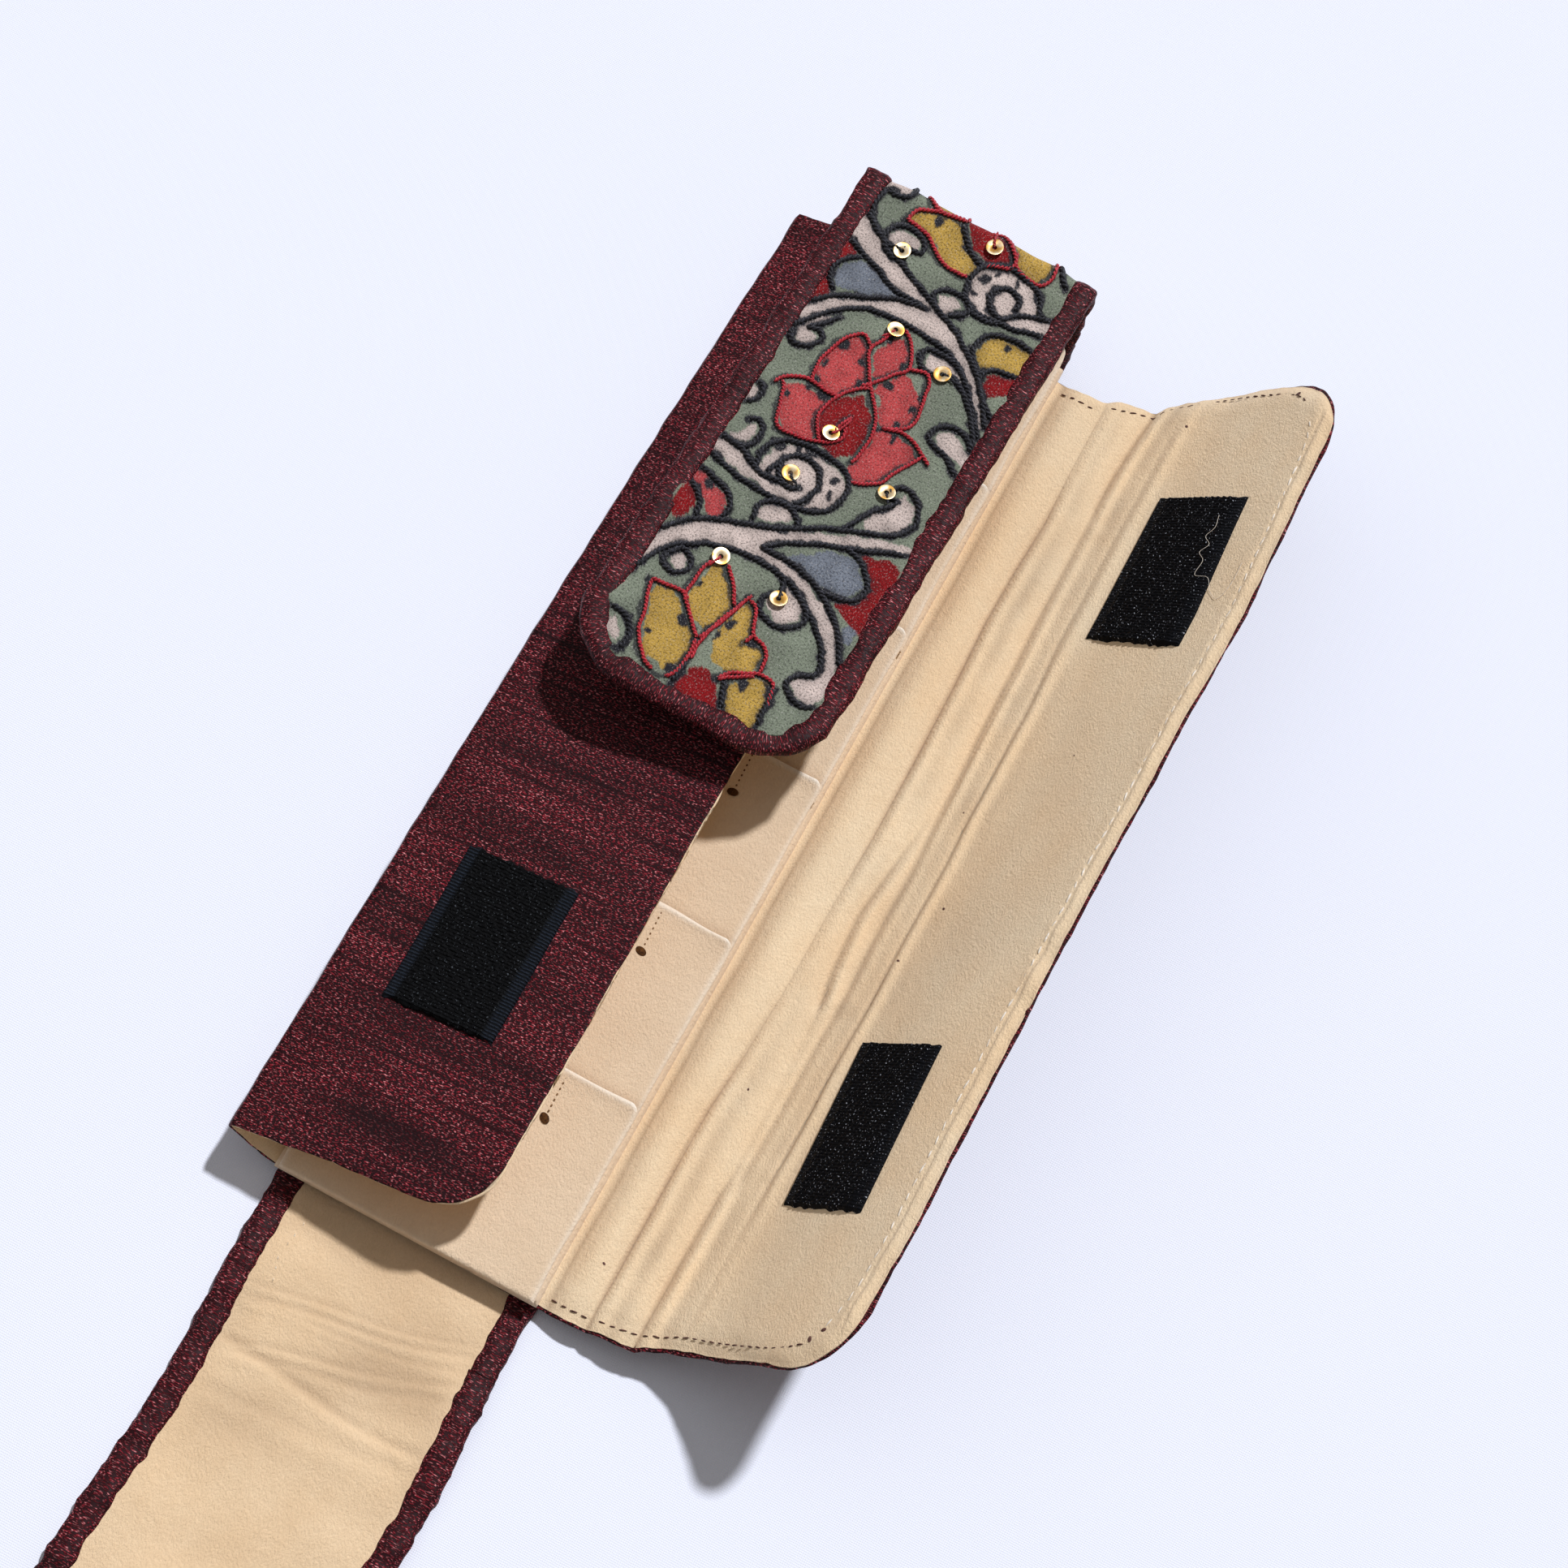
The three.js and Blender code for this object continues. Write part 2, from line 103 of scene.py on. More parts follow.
# The pouch lies on a table under a fine white cotton cloth, which isn't part of the pouch. Every colour
# in this script is written as it looks, and most materials mix two of them by some noise.
def written(red, green, blue):
    """A colour given as it looks on a screen, 0 to 255, turned into the light it reflects."""
    looks = np.array([red, green, blue]) / 255.0
    light = np.where(looks <= 0.04045, looks / 12.92, ((looks + 0.055) / 1.055) ** 2.4)
    return (float(light[0]), float(light[1]), float(light[2]), 1.0)


def new_finish(name, roughness, specular, sheen=0.0, sheen_roughness=0.5, metallic=0.0):
    """A material with one plain shader. Returns it, its node tree and the shader."""
    material = bpy.data.materials.new(name)
    material.use_nodes = True
    shader = material.node_tree.nodes["Principled BSDF"]
    shader.inputs["Roughness"].default_value = roughness
    shader.inputs["Specular IOR Level"].default_value = specular
    shader.inputs["Sheen Weight"].default_value = sheen
    shader.inputs["Sheen Roughness"].default_value = sheen_roughness
    shader.inputs["Metallic"].default_value = metallic
    return material, material.node_tree, shader


def node(tree, kind, inputs, **settings):
    """Adds one node to a finish. Inputs are by socket name or number, each a value or another's output."""
    made = tree.nodes.new(kind)
    for key, value in settings.items():
        setattr(made, key, value)
    for key, value in inputs.items():
        if isinstance(value, bpy.types.NodeSocket):
            tree.links.new(value, made.inputs[key])
        else:
            made.inputs[key].default_value = value
    return made


def noise(tree, where, scale, detail, rough=0.55, stretch=(1.0, 1.0, 1.0), turn=0.0):
    """Cloudy noise from 0 to 1, scale spots a metre, longer along a direction whose stretch is below 1."""
    mapping = node(tree, "ShaderNodeMapping", {"Vector": where, "Scale": stretch,
                                               "Rotation": (0.0, 0.0, turn)})
    cloud = node(tree, "ShaderNodeTexNoise",
                 {"Vector": mapping.outputs[0], "Scale": scale, "Detail": detail, "Roughness": rough})
    return cloud.outputs[0]


def ramp(tree, value, stops):
    """Turns a value from 0 to 1 into a colour, by stops of (place, colour)."""
    made = node(tree, "ShaderNodeValToRGB", {"Fac": value})
    while len(made.color_ramp.elements) < len(stops):
        made.color_ramp.elements.new(0.5)
    for element, (place, colour) in zip(made.color_ramp.elements, stops):
        element.position = place
        element.color = colour
    return made.outputs["Color"]


def grey(level):
    """A plain grey for a ramp."""
    return (level, level, level, 1.0)


def blended(tree, share, first, second, how="MIX"):
    """Two colours laid over each other, first where share is 0 and second where it is 1."""
    made = node(tree, "ShaderNodeMix", {0: share, 6: first, 7: second}, data_type="RGBA", blend_type=how)
    return made.outputs[2]


def sums(tree, how, first, second):
    """One sum on two values, such as MULTIPLY or ADD."""
    return node(tree, "ShaderNodeMath", {0: first, 1: second}, operation=how).outputs[0]


def raised(tree, shader, height, depth):
    """Gives the shader small relief, depth metres high where height is 1."""
    bump = node(tree, "ShaderNodeBump", {"Height": height, "Strength": 1.0, "Distance": depth})
    tree.links.new(bump.outputs[0], shader.inputs["Normal"])


def mottled(name, scale, first, last, dark, pale, *how):
    """A finish that goes from dark to pale where a noise over the object goes from first to last."""
    material, tree, shader = new_finish(name, *how)
    place = node(tree, "ShaderNodeTexCoord", {}).outputs["Object"]
    spots = ramp(tree, noise(tree, place, scale, 2.0), [(first, grey(0)), (last, grey(1))])
    tree.links.new(blended(tree, spots, dark, pale), shader.inputs["Base Color"])
    return material


floor_cloth, tree, shader = new_finish("table_cloth", 0.95, 0.1)
place = node(tree, "ShaderNodeTexCoord", {}).outputs["Object"]
weft = node(tree, "ShaderNodeTexWave", {"Vector": place, "Scale": 640.0, "Distortion": 1.2, "Detail": 1.0,
                                        "Detail Scale": 2.0}, bands_direction="X").outputs[1]
warp = node(tree, "ShaderNodeTexWave", {"Vector": place, "Scale": 640.0, "Distortion": 1.2, "Detail": 1.0,
                                        "Detail Scale": 2.0}, bands_direction="Y").outputs[1]
threads = sums(tree, "MULTIPLY", weft, warp)
tint = blended(tree, threads, written(240, 243, 254), written(249, 250, 255))
tree.links.new(tint, shader.inputs["Base Color"])
raised(tree, shader, threads, 0.00006)
floor_mesh = bpy.data.meshes.new("floor")
floor_mesh.from_pydata([(-4, -4, 0), (4, -4, 0), (4, 4, 0), (-4, 4, 0)], [], [(0, 1, 2, 3)])
floor = bpy.data.objects.new("floor", floor_mesh)
floor_mesh.materials.append(floor_cloth)
bpy.context.scene.collection.objects.link(floor)


# The case's outside is one length of dark red silk, woven of near-black thread with short pinkish
# dashes. It runs under the base, up the left wall and over the leaves, and out to the open flap.
silk_middle = 3.45
silk_thickness = 0.7
base_edge = 32.6
left_fold = np.array([-44.7, 12.98])
left_flap_tilt = math.radians(10.6)
left_flap_length = 58.8
right_fold = np.array([57.2, 8.05])
flap_corner = 13.0
right_corner = 16.5


def run_along(path):
    """The distance along a path at each of its points."""
    return np.concatenate([[0], np.cumsum(np.linalg.norm(np.diff(path, axis=0), axis=1))])


def rounded_path(corners, radii):
    """A line through corners with its bends rounded. Each inner corner is swapped for an arc of its
    radius that touches both straight runs; returns points about 0.4 mm apart, and the length at each."""
    step = 0.4
    points = [np.array(corners[0], float)]
    for before, corner, after, radius in zip(corners[:-2], corners[1:-1], corners[2:], radii):
        before, corner, after = (np.array(p, float) for p in (before, corner, after))
        back = (before - corner) / np.linalg.norm(before - corner)
        ahead = (after - corner) / np.linalg.norm(after - corner)
        half = math.acos(float(np.clip(back @ ahead, -1, 1))) / 2
        reach = radius / math.tan(half)
        middle = corner + (back + ahead) / np.linalg.norm(back + ahead) * radius / math.sin(half)
        start, end = corner + back * reach - middle, corner + ahead * reach - middle
        turn = math.atan2(start[0] * end[1] - start[1] * end[0], start @ end)
        count = max(4, int(abs(turn) * radius / step * 1.6))
        for angle in np.linspace(0, turn, count):
            c, s = math.cos(angle), math.sin(angle)
            points.append(middle + np.array([c * start[0] - s * start[1], s * start[0] + c * start[1]]))
    points.append(np.array(corners[-1], float))
    points = np.array(points)
    lengths = run_along(points)
    even = np.linspace(0, lengths[-1], max(2, int(lengths[-1] / step)))
    return np.stack([np.interp(even, lengths, points[:, i]) for i in (0, 1)], -1), even


def path_at(path, lengths, where, aside):
    """Points on a path at the lengths where, moved aside square to it, to its left side if positive.
    The direction is the difference of the points 0.3 mm before and after."""
    ahead = np.stack([np.interp(where + 0.3, lengths, path[:, i]) for i in (0, 1)], -1)
    behind = np.stack([np.interp(where - 0.3, lengths, path[:, i]) for i in (0, 1)], -1)
    run = ahead - behind
    run /= np.maximum(np.linalg.norm(run, axis=-1, keepdims=True), 1e-9)
    here = np.stack([np.interp(where, lengths, path[:, i]) for i in (0, 1)], -1)
    over = where - np.clip(where, lengths[0], lengths[-1])
    normal = np.stack([-run[..., 1], run[..., 0]], -1)
    return here + run * over[..., None] + normal * np.asarray(aside)[..., None]


def waves(seed, length, across, along, count=24, stretch=1.0):
    """Soft unevenness of cloth, about -1 to 1: a sum of plane waves of random direction and phase,
    none shorter than length, and stretch times longer along the second direction."""
    chance = np.random.default_rng(seed)
    total = np.zeros(np.broadcast(across, along).shape)
    for turn, shift, size in zip(chance.uniform(0, math.pi, count), chance.uniform(0, 6.3, count),
                                 chance.uniform(1.0, 2.6, count)):
        run = across * math.cos(turn) + along * math.sin(turn) / stretch
        total += np.sin(run * 2 * math.pi / (length * size) + shift)
    return total / math.sqrt(count) * 1.1


def spaced(first, last, step, edge):
    """Places from first to last about step apart, and a few close to both ends, where cloth turns over."""
    inner = np.linspace(first, last, max(3, int((last - first) / step) + 1))
    near = np.concatenate([first + np.array(edge), last - np.array(edge)])
    return np.unique(np.round(np.concatenate([inner, near]), 5))


def new_piece(name, points, faces, material, uv=None):
    """A mesh object from points in millimetres and faces of four. The faces are turned to look outwards
    if the volume that they close comes out negative. uv gives each point's place on the cloth, in
    millimetres, which the UV map keeps in metres."""
    points = np.asarray(points, float).reshape(-1, 3) * 0.001
    faces = np.asarray(faces, np.int64).reshape(-1, 4)
    a, b, c, d = (points[faces[:, i]] for i in range(4))
    volume = np.einsum("ij,ij->i", a, np.cross(b, c)).sum() + np.einsum("ij,ij->i", a, np.cross(c, d)).sum()
    if volume < 0:
        faces = faces[:, ::-1]
    mesh = bpy.data.meshes.new(name)
    mesh.vertices.add(len(points))
    mesh.vertices.foreach_set("co", points.astype(np.float32).ravel())
    mesh.loops.add(faces.size)
    mesh.loops.foreach_set("vertex_index", faces.astype(np.int32).ravel())
    mesh.polygons.add(len(faces))
    mesh.polygons.foreach_set("loop_start", np.arange(0, faces.size, 4, dtype=np.int32))
    mesh.polygons.foreach_set("loop_total", np.full(len(faces), 4, np.int32))
    mesh.polygons.foreach_set("use_smooth", np.ones(len(faces), bool))
    mesh.update(calc_edges=True)
    if uv is not None:
        layer = mesh.uv_layers.new(name="UVMap")
        spread = np.asarray(uv, float).reshape(-1, 2)[faces.ravel()] * 0.001
        layer.data.foreach_set("uv", spread.astype(np.float32).ravel())
    mesh.materials.append(material)
    piece = bpy.data.objects.new(name, mesh)
    bpy.context.scene.collection.objects.link(piece)
    return piece


def sewn_layer(name, outer, inner, flat, material, cuts=0):
    """A closed layer of cloth from its outer and inner faces, two grids of points of one shape: quads
    over both, and a ring of quads round the rim that joins them. flat is the place of each on the cloth.
    Where the cloth goes on in the next piece, which cuts says for its first row, 1, or its first and last
    rows, 2, the row's edges are sharp, so that the rim doesn't round the shading off."""
    rows, columns = outer.shape[:2]
    number = np.arange(rows * columns).reshape(rows, columns)
    quads = np.stack([number[:-1, :-1], number[1:, :-1], number[1:, 1:], number[:-1, 1:]], -1).reshape(-1, 4)
    shift = rows * columns
    faces = [quads, quads[:, ::-1] + shift]
    for side in (number[0], number[:, -1], number[-1, ::-1], number[::-1, 0]):
        faces.append(np.stack([side[:-1], side[1:], side[1:] + shift, side[:-1] + shift], -1))
    piece = new_piece(name, np.concatenate([outer.reshape(-1, 3), inner.reshape(-1, 3)]),
                      np.concatenate(faces), material, np.concatenate([flat.reshape(-1, 2)] * 2))
    on_cut = np.zeros(2 * shift, bool)
    for row in ([], [0], [0, rows - 1])[cuts]:
        on_cut[number[row]] = on_cut[number[row] + shift] = True
    pairs = np.empty(len(piece.data.edges) * 2, np.int32)
    piece.data.edges.foreach_get("vertices", pairs)
    sharp = piece.data.attributes.new("sharp_edge", "BOOLEAN", "EDGE")
    sharp.data.foreach_set("value", on_cut[pairs.reshape(-1, 2)].all(1))
    return piece


def tube_faces(rows, ring, first=0):
    """Quads round a tube of rows rings, ring points in each."""
    number = np.arange(rows * ring).reshape(rows, ring) + first
    after = np.roll(number, -1, axis=1)
    return np.stack([number[:-1], number[1:], after[1:], after[:-1]], -1).reshape(-1, 4)


def keep(piece, name, values):
    """Keeps a value for each point of a layer's outer face, and the same on its inner, as an attribute."""
    both = np.concatenate([values.ravel()] * 2).astype(np.float32)
    piece.data.attributes.new(name, "FLOAT", "POINT").data.foreach_set("value", both)


def rides(piece, body, nodes):
    """Lets a piece move with a body and stand for nodes of the part."""
    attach(piece, body)
    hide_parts(*nodes)


def bends(piece, nodes=()):
    """Bakes a piece's placement into its points, and lets it stand for nodes of the part."""
    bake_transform(piece)
    if nodes:
        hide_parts(*nodes)


def turned_edge(distance, radius):
    """How thick cloth is near its edge, as a share: a quarter circle that rises from 0.12 over radius."""
    near = np.clip(distance / radius, 0, 1)
    return 0.12 + 0.88 * np.sqrt(1 - (1 - near) ** 2)


def silk_weave(name, dark, deep, main, pale, sway):
    """Silk of near-black thread with short slanting dashes, in patches that slant one way or the other: two
    fine noises drawn out along 40 degrees either way. Rows across the cloth, about half a millimetre
    apart, part them, and slubs and broad bands across the cloth darken it by turns."""
    material, tree, shader = new_finish(name, 0.55, 0.16)
    place = node(tree, "ShaderNodeUVMap", {}, uv_map="UVMap").outputs[0]
    left_dash = noise(tree, place, 3000.0, 1.0, 0.4, (0.42, 1.0, 1.0), math.radians(38 + sway))
    right_dash = noise(tree, place, 3000.0, 1.0, 0.4, (0.42, 1.0, 1.0), math.radians(-36 + sway))
    turns = ramp(tree, noise(tree, place, 420.0, 1.0, 0.5, (0.5, 1.0, 1.0)),
                 [(0.46, grey(0)), (0.54, grey(1))])
    dash = ramp(tree, blended(tree, turns, left_dash, right_dash), [(0.485, grey(0)), (0.575, grey(1))])
    rows = node(tree, "ShaderNodeTexWave", {"Vector": place, "Scale": 700.0, "Distortion": 2.2, "Detail": 2.0,
                                            "Detail Scale": 1.5}, bands_direction="Y").outputs[1]
    threads = sums(tree, "MULTIPLY", dash, ramp(tree, rows, [(0.1, grey(0.3)), (0.5, grey(1))]))
    slub = ramp(tree, noise(tree, place, 760.0, 3.0, 0.65, (0.03, 1.0, 1.0)),
                [(0.36, grey(0.12)), (0.52, grey(1))])
    bands = ramp(tree, noise(tree, place, 70.0, 4.0, 0.65, (0.14, 1.0, 1.0)),
                 [(0.34, grey(0.45)), (0.56, grey(1))])
    lit = sums(tree, "MULTIPLY", threads, sums(tree, "MULTIPLY", slub, bands))
    ground = blended(tree, bands, dark, deep)
    shine = ramp(tree, noise(tree, place, 1700.0, 1.0), [(0.5, grey(0)), (0.66, grey(1))])
    colour = blended(tree, lit, ground, blended(tree, shine, main, pale))
    return material, tree, shader, place, colour, threads


silk, tree, shader, place, colour, threads = silk_weave(
    "dark_red_silk", written(8, 0, 2), written(36, 3, 8), written(160, 40, 53), written(240, 150, 152), 0)
# The silk is darker in a soft patch near the lower end of the left flap, about 30 mm out from its fold; the
# same patch falls on the right flap's outer face.
dark_patch = node(tree, "ShaderNodeVectorMath", {0: place, 1: (0.0775, -0.1157, 0.0)},
              operation="SUBTRACT").outputs[0]
dark_patch = node(tree, "ShaderNodeVectorMath", {0: dark_patch, 1: (55.0, 230.0, 0.0)},
              operation="MULTIPLY").outputs[0]
dark_patch = node(tree, "ShaderNodeVectorMath", {0: dark_patch}, operation="LENGTH").outputs[1]
dark_patch = sums(tree, "ADD", dark_patch, sums(tree, "MULTIPLY", noise(tree, place, 180.0, 3.0), 0.8))
dark_patch = ramp(tree, sums(tree, "MULTIPLY", dark_patch, 0.5), [(0.45, grey(0.7)), (0.85, grey(0))])
colour = blended(tree, dark_patch, colour, written(26, 4, 8))
tree.links.new(colour, shader.inputs["Base Color"])
raised(tree, shader, threads, 0.00016)


def hem_wave(seed, along, size):
    """How far a sewn edge strays from straight, in millimetres: waves about 12 mm long and finer lumps."""
    return size * (waves(seed, 12.0, along, 0 * along, 10) + 0.4 * waves(seed + 1, 3.0, along, 0 * along, 10))


def case_grid(start, length, low, high, corner, seed, step, strays=0.2):
    """Places on the case's cloth, across it from start to length and along it from its lower end to its
    upper end, low and high, which are functions of the place across. start is a function of the place
    along, and corner the radius of the quarter circles where the ends meet the free edge. Returns both
    places and the distance to the nearest sewn edge."""
    begin = float(np.mean(start(np.linspace(-120, 120, 9))))
    run = np.linspace(begin, length, max(3, int(abs(length - begin) / step)))
    if corner:
        bend = length - corner * (1 - np.sin(np.linspace(0, 1, 14) * math.pi / 2))
        run = np.unique(np.concatenate([run, bend, length - np.array([0.1, 0.3, 0.7])]).round(4))
    share = np.concatenate([[0, 0.0005, 0.0015, 0.0032], np.linspace(0.006, 0.994, 150),
                            [0.9968, 0.9985, 0.9995, 1]])
    inward = np.clip(run - (length - corner), 0, corner)
    curve = corner - np.sqrt(np.maximum(corner ** 2 - inward ** 2, 0))
    first, last = low(run) + curve, high(run) - curve
    along = first[:, None] + (last - first)[:, None] * share
    part = ((run - begin) / (length - begin))[:, None]
    across = start(along) + (length - start(along)) * part
    edge = np.minimum(share, 1 - share) * (last - first)[:, None]
    if corner:
        edge = np.minimum(edge, length - run[:, None])
        across = across + hem_wave(seed, along, strays) * np.clip(1 - (length - across) / 6, 0, 1)
    along = along + hem_wave(seed + 4, across, strays) * np.clip(1 - edge / 5, 0, 1)
    return across, along, np.maximum(edge, 0)


def on_case(half, across, along, aside):
    """Points of one half of the case's cloth: its path gives x and z at the place across, moved aside,
    and y is the place along. The half's own sway, a function of both places, is added to x."""
    profile = path_at(half[0], half[1], across, aside)
    return np.stack([profile[..., 0] + half[2](across, along), along, profile[..., 1]], -1)


def eased(low, high, value):
    """A share that rises smoothly from 0 at low to 1 at high."""
    share = np.clip((value - low) / (high - low), 0, 1)
    return share * share * (3 - 2 * share)


def hill(away, width):
    """A rounded bump, 1 in its middle and 0.37 at width from it, from the distance to its middle."""
    return np.exp(-(away / width) ** 2)


left_path, left_lengths = rounded_path(
    [(0, silk_middle), (-base_edge, silk_middle), tuple(left_fold),
     (left_fold[0] + left_flap_length * math.cos(left_flap_tilt),
      left_fold[1] + left_flap_length * math.sin(left_flap_tilt))], [2.5, 1.1])
left_length = float(left_lengths[-1])
wall_middle = float(left_lengths[np.argmin(np.linalg.norm(left_path - [-37.6, 8.2], axis=1))])
left_fold_run = float(left_lengths[np.argmin(left_path[:, 0])])


def left_low(run):
    """The lower end of the cloth on the left, which draws back towards the flap's free edge."""
    return np.interp(run, [0, wall_middle, left_fold_run, left_fold_run + 20, left_length],
                     [-130, -130, -129.6, -127.6, -125.2])


def left_high(run):
    """The upper end of the cloth on the left."""
    return np.interp(run, [0, wall_middle, left_length], [130, 130.5, 132.0])


def left_rise(across, along):
    """How the left flap's cloth strays from flat: it droops near the lower corner and swells softly."""
    beyond = across - left_fold_run
    swell = 0.35 * waves(11, 45, across, along) * eased(2, 12, beyond)
    droop = 0.8 * eased(40, 58, beyond) * eased(-100, -128, along)
    return swell - droop + 0.12 * waves(12, 6, across, along) * eased(6, 0, np.abs(beyond))


def left_sway(across, along):
    """The left fold isn't quite straight: it is pulled in towards its upper end."""
    pulled = np.interp(along, [-130, -60, 0, 60, 100, 132], [0.1, -0.3, -0.4, -0.1, 0.4, 0.9])
    return pulled * eased(34, 46, across)


left_half = (left_path, left_lengths, left_sway, left_low, left_high)


def silk_layer(name, half, start, length, corner, seed, outside, rise, step=1.6, **how):
    """One stretch of the case's silk, a layer 0.7 mm thick on a half's path, outside 1 where the
    pouch's outside is on the path's left and -1 on its right. rise lifts both faces, and the edges are
    turned round."""
    across, along, edge = case_grid(start, length, *half[3:], corner, seed, step)
    thick = silk_thickness / 2 * turned_edge(edge, 0.5)
    lift = rise(across, along)
    outer = on_case(half, across, along, outside * (thick + lift))
    inner = on_case(half, across, along, outside * (lift - thick))
    return sewn_layer(name, outer, inner, np.stack([across, along], -1), silk, **how)


def at_zero(along):
    """The middle of the base, where the left and right halves of the silk are sewn under the strap."""
    return 0 * along


def at_wall_middle(along):
    """The middle of the left wall."""
    return wall_middle + 0 * along


left_silk = silk_layer("left_wall_silk_cloth", left_half, at_zero, wall_middle, 0, 20, 1, left_rise, cuts=2)
bends(left_silk, ["left_wall_silk", "base_silk"])
left_flap_silk = silk_layer("left_flap_silk_cloth", left_half, at_wall_middle, left_length, flap_corner, 20,
                            1, left_rise, cuts=1)
bends(left_flap_silk, ["left_flap_silk"])


# The right half of the silk goes on under the spine to the open flap, whose sewn edge shows past the
# lining. Both are creased along the spine, where the cloth has been folded shut. The flap rises in a
# curve, laid out in steps, whose slope grows from 24 to 51 degrees over its first 20 mm.
flap_step = 0.5
flap_angles = np.radians(24 + 27 * np.clip((np.arange(0, 53.6, flap_step) + flap_step / 2) / 20, 0, 1))
flap_steps = flap_step * np.stack([np.cos(flap_angles), np.sin(flap_angles)], -1)
flap_line = right_fold + np.concatenate([[[0, 0]], np.cumsum(flap_steps, 0)])[:-1]
right_bend, right_bend_lengths = rounded_path([(0, silk_middle), (base_edge, silk_middle),
                                               tuple(right_fold)], [5.0])
right_path = np.concatenate([right_bend, flap_line[1:]])
right_lengths = run_along(right_path)
spine_start = base_edge
silk_cut = spine_start + 11.5
flap_start = float(right_bend_lengths[-1])
right_length = flap_start + 52.6
crease_lines = {
    "first": ([-130, -95, -75, -60, -45, -20, 0, 20, 40, 60, 75, 90, 105, 130],
              [10.4, 10.2, 10.4, 11.6, 12.4, 12.8, 13.2, 13.0, 12.6, 11.7, 11.9, 12.7, 12.3, 12.0],
              [1.1, 1.1, 1.0, 0.7, 0.3, 0.3, 0.7, 1.0, 1.0, 1.0, 1.0, 0.9, 0.3, 0.3]),
    "knot": ([-130, -100, -92, -86, -60, -46, -42, -36, -20, -8, 0, 10],
             [21.2, 21.3, 21.7, 22.6, 22.3, 21.8, 21.0, 19.9, 19.2, 20.4, 21.6, 23.2],
             [1.2, 1.2, 1.0, 0.25, 0.15, 0.3, 1.3, 1.0, 1.0, 0.8, 0.4, 0.0]),
    "fold": ([-130, -92, -84, -45, 0, 20, 50, 70, 93, 100, 108, 120, 132],
             [24.5, 24.5, 24.6, 25.0, 24.6, 24.0, 23.0, 22.3, 22.5, 22.0, 22.0, 22.7, 23.9],
             [0.0, 0.0, 0.5, 0.5, 0.6, 1.0, 1.0, 1.0, 0.8, 1.1, 1.2, 1.2, 1.2]),
    "outer": ([-130, -95, -82, -40, 0, 10, 40, 60, 110, 130],
              [31.0, 31.0, 31.8, 32.3, 32.6, 31.8, 32.0, 30.4, 31.0, 31.0],
              [0.1, 0.2, 0.6, 0.6, 0.5, 0.6, 0.5, 0.4, 0.2, 0.1]),
}


def crease(name, along):
    """How far a crease of the spine lies from the base's edge, and how deep it is, by the place along."""
    places, across, depth = crease_lines[name]
    return np.interp(along, places, across), np.interp(along, places, depth)


def spine_rise(across, along):
    """The spine's relief. Each crease is a narrow valley in a broad one, both falling off as
    exponentials of the distance to it, with a low ridge on each side, and between creases the cloth
    stands up in soft rolls."""
    place = across - spine_start + 0.16 * waves(41, 22, 0 * along, along, 12)
    relief = 0.22 * waves(42, 30, across, along, 24, 3.0) * eased(1, 8, place)
    for name in crease_lines:
        centre, depth = crease(name, along)
        away_from = place - centre
        valley = 1.15 * np.exp(-np.abs(away_from) / 0.7) + 0.55 * np.exp(-np.abs(away_from) / 3.5)
        relief = relief - depth * valley
        relief += depth * (0.85 * hill(away_from - 2.1, 1.2) + 0.25 * hill(away_from + 3.4, 2))
    relief += 0.9 * hill(place - 5.2, 3.4) + 0.55 * hill(place - 17, 3.2)
    relief += 0.5 * hill(place - 33.8, 1.6) * eased(-105, -80, along)
    relief += 0.6 * hill(place - 22, 1.2) * hill(along + 44, 4)
    hemmed = 0.4 + 0.6 * eased(131, 117, np.abs(along - 3))
    for step_place, first, last in ((-83, 22, 32), (-41, 25, 31), (92.5, 22, 26), (46, 23, 27)):
        between = eased(first - 2, first, place) * eased(last + 2, last, place)
        relief += 0.35 * hill(along - step_place, 1.6) * between
    return relief * hemmed * eased(0.5, 4, place)


def flap_relief(across, along):
    """The spine's relief on the cloth as a whole: it dies out at the right flap's free edge."""
    return spine_rise(across, along) * eased(right_length, right_length - 8, across)


def fold_shade(across, along):
    """How much painted shade darkens the cloth along its creases, 0 to 1: a thin line in each, with a soft
    band of painted shade on its right, and a little along the base's edge."""
    place = across - spine_start + 0.16 * waves(41, 22, 0 * along, along, 12)
    shade = 0.5 * np.exp(-np.abs(place - 1.0)) + 0.12 * np.exp(-np.abs(place - 3.0) / 2.0)
    for name in crease_lines:
        centre, depth = crease(name, along)
        away_from = place - centre
        band = 0.13 * hill(away_from - 5.4, 2.2) * (1 + 0.5 * waves(43, 12, across, along))
        shade = shade + depth * (0.5 * hill(away_from, 0.5) + 0.08 * hill(away_from + 1.6, 1.2) + band)
    return shade


def right_low(run):
    """The lower end of the spine and right flap, which steps up where the spine is gathered in."""
    return np.interp(run - spine_start, [-33, 0, 10, 20, 22, 24, 28, 35, 50, 77],
                     [-130, -130.6, -130.6, -129.8, -129.4, -128.4, -127.0, -125.8, -124.8, -123.8])


def right_high(run):
    """The upper end of the spine and right flap."""
    return np.interp(run - spine_start, [-33, 0, 11, 15, 23, 25, 30, 40, 50, 77],
                     [130, 127.2, 126.8, 128.6, 129.6, 131.2, 134.4, 137.0, 138.0, 138.0])


def at_first_crease(along):
    """The spine's first crease, where its two stretches of cloth meet."""
    return spine_start + crease("first", along)[0]


def right_sway(across, along):
    """The right flap's free edge bows out, most near its upper end."""
    bow = np.interp(along, [-124, -110, -95, -50, -5, 20, 45, 70, 95, 120, 134],
                    [-0.4, -0.2, 0.3, 0.4, 0.8, 1.4, 1.8, 2.8, 2.0, 1.5, 0.2])
    return bow * eased(flap_start - 2, right_length, across)


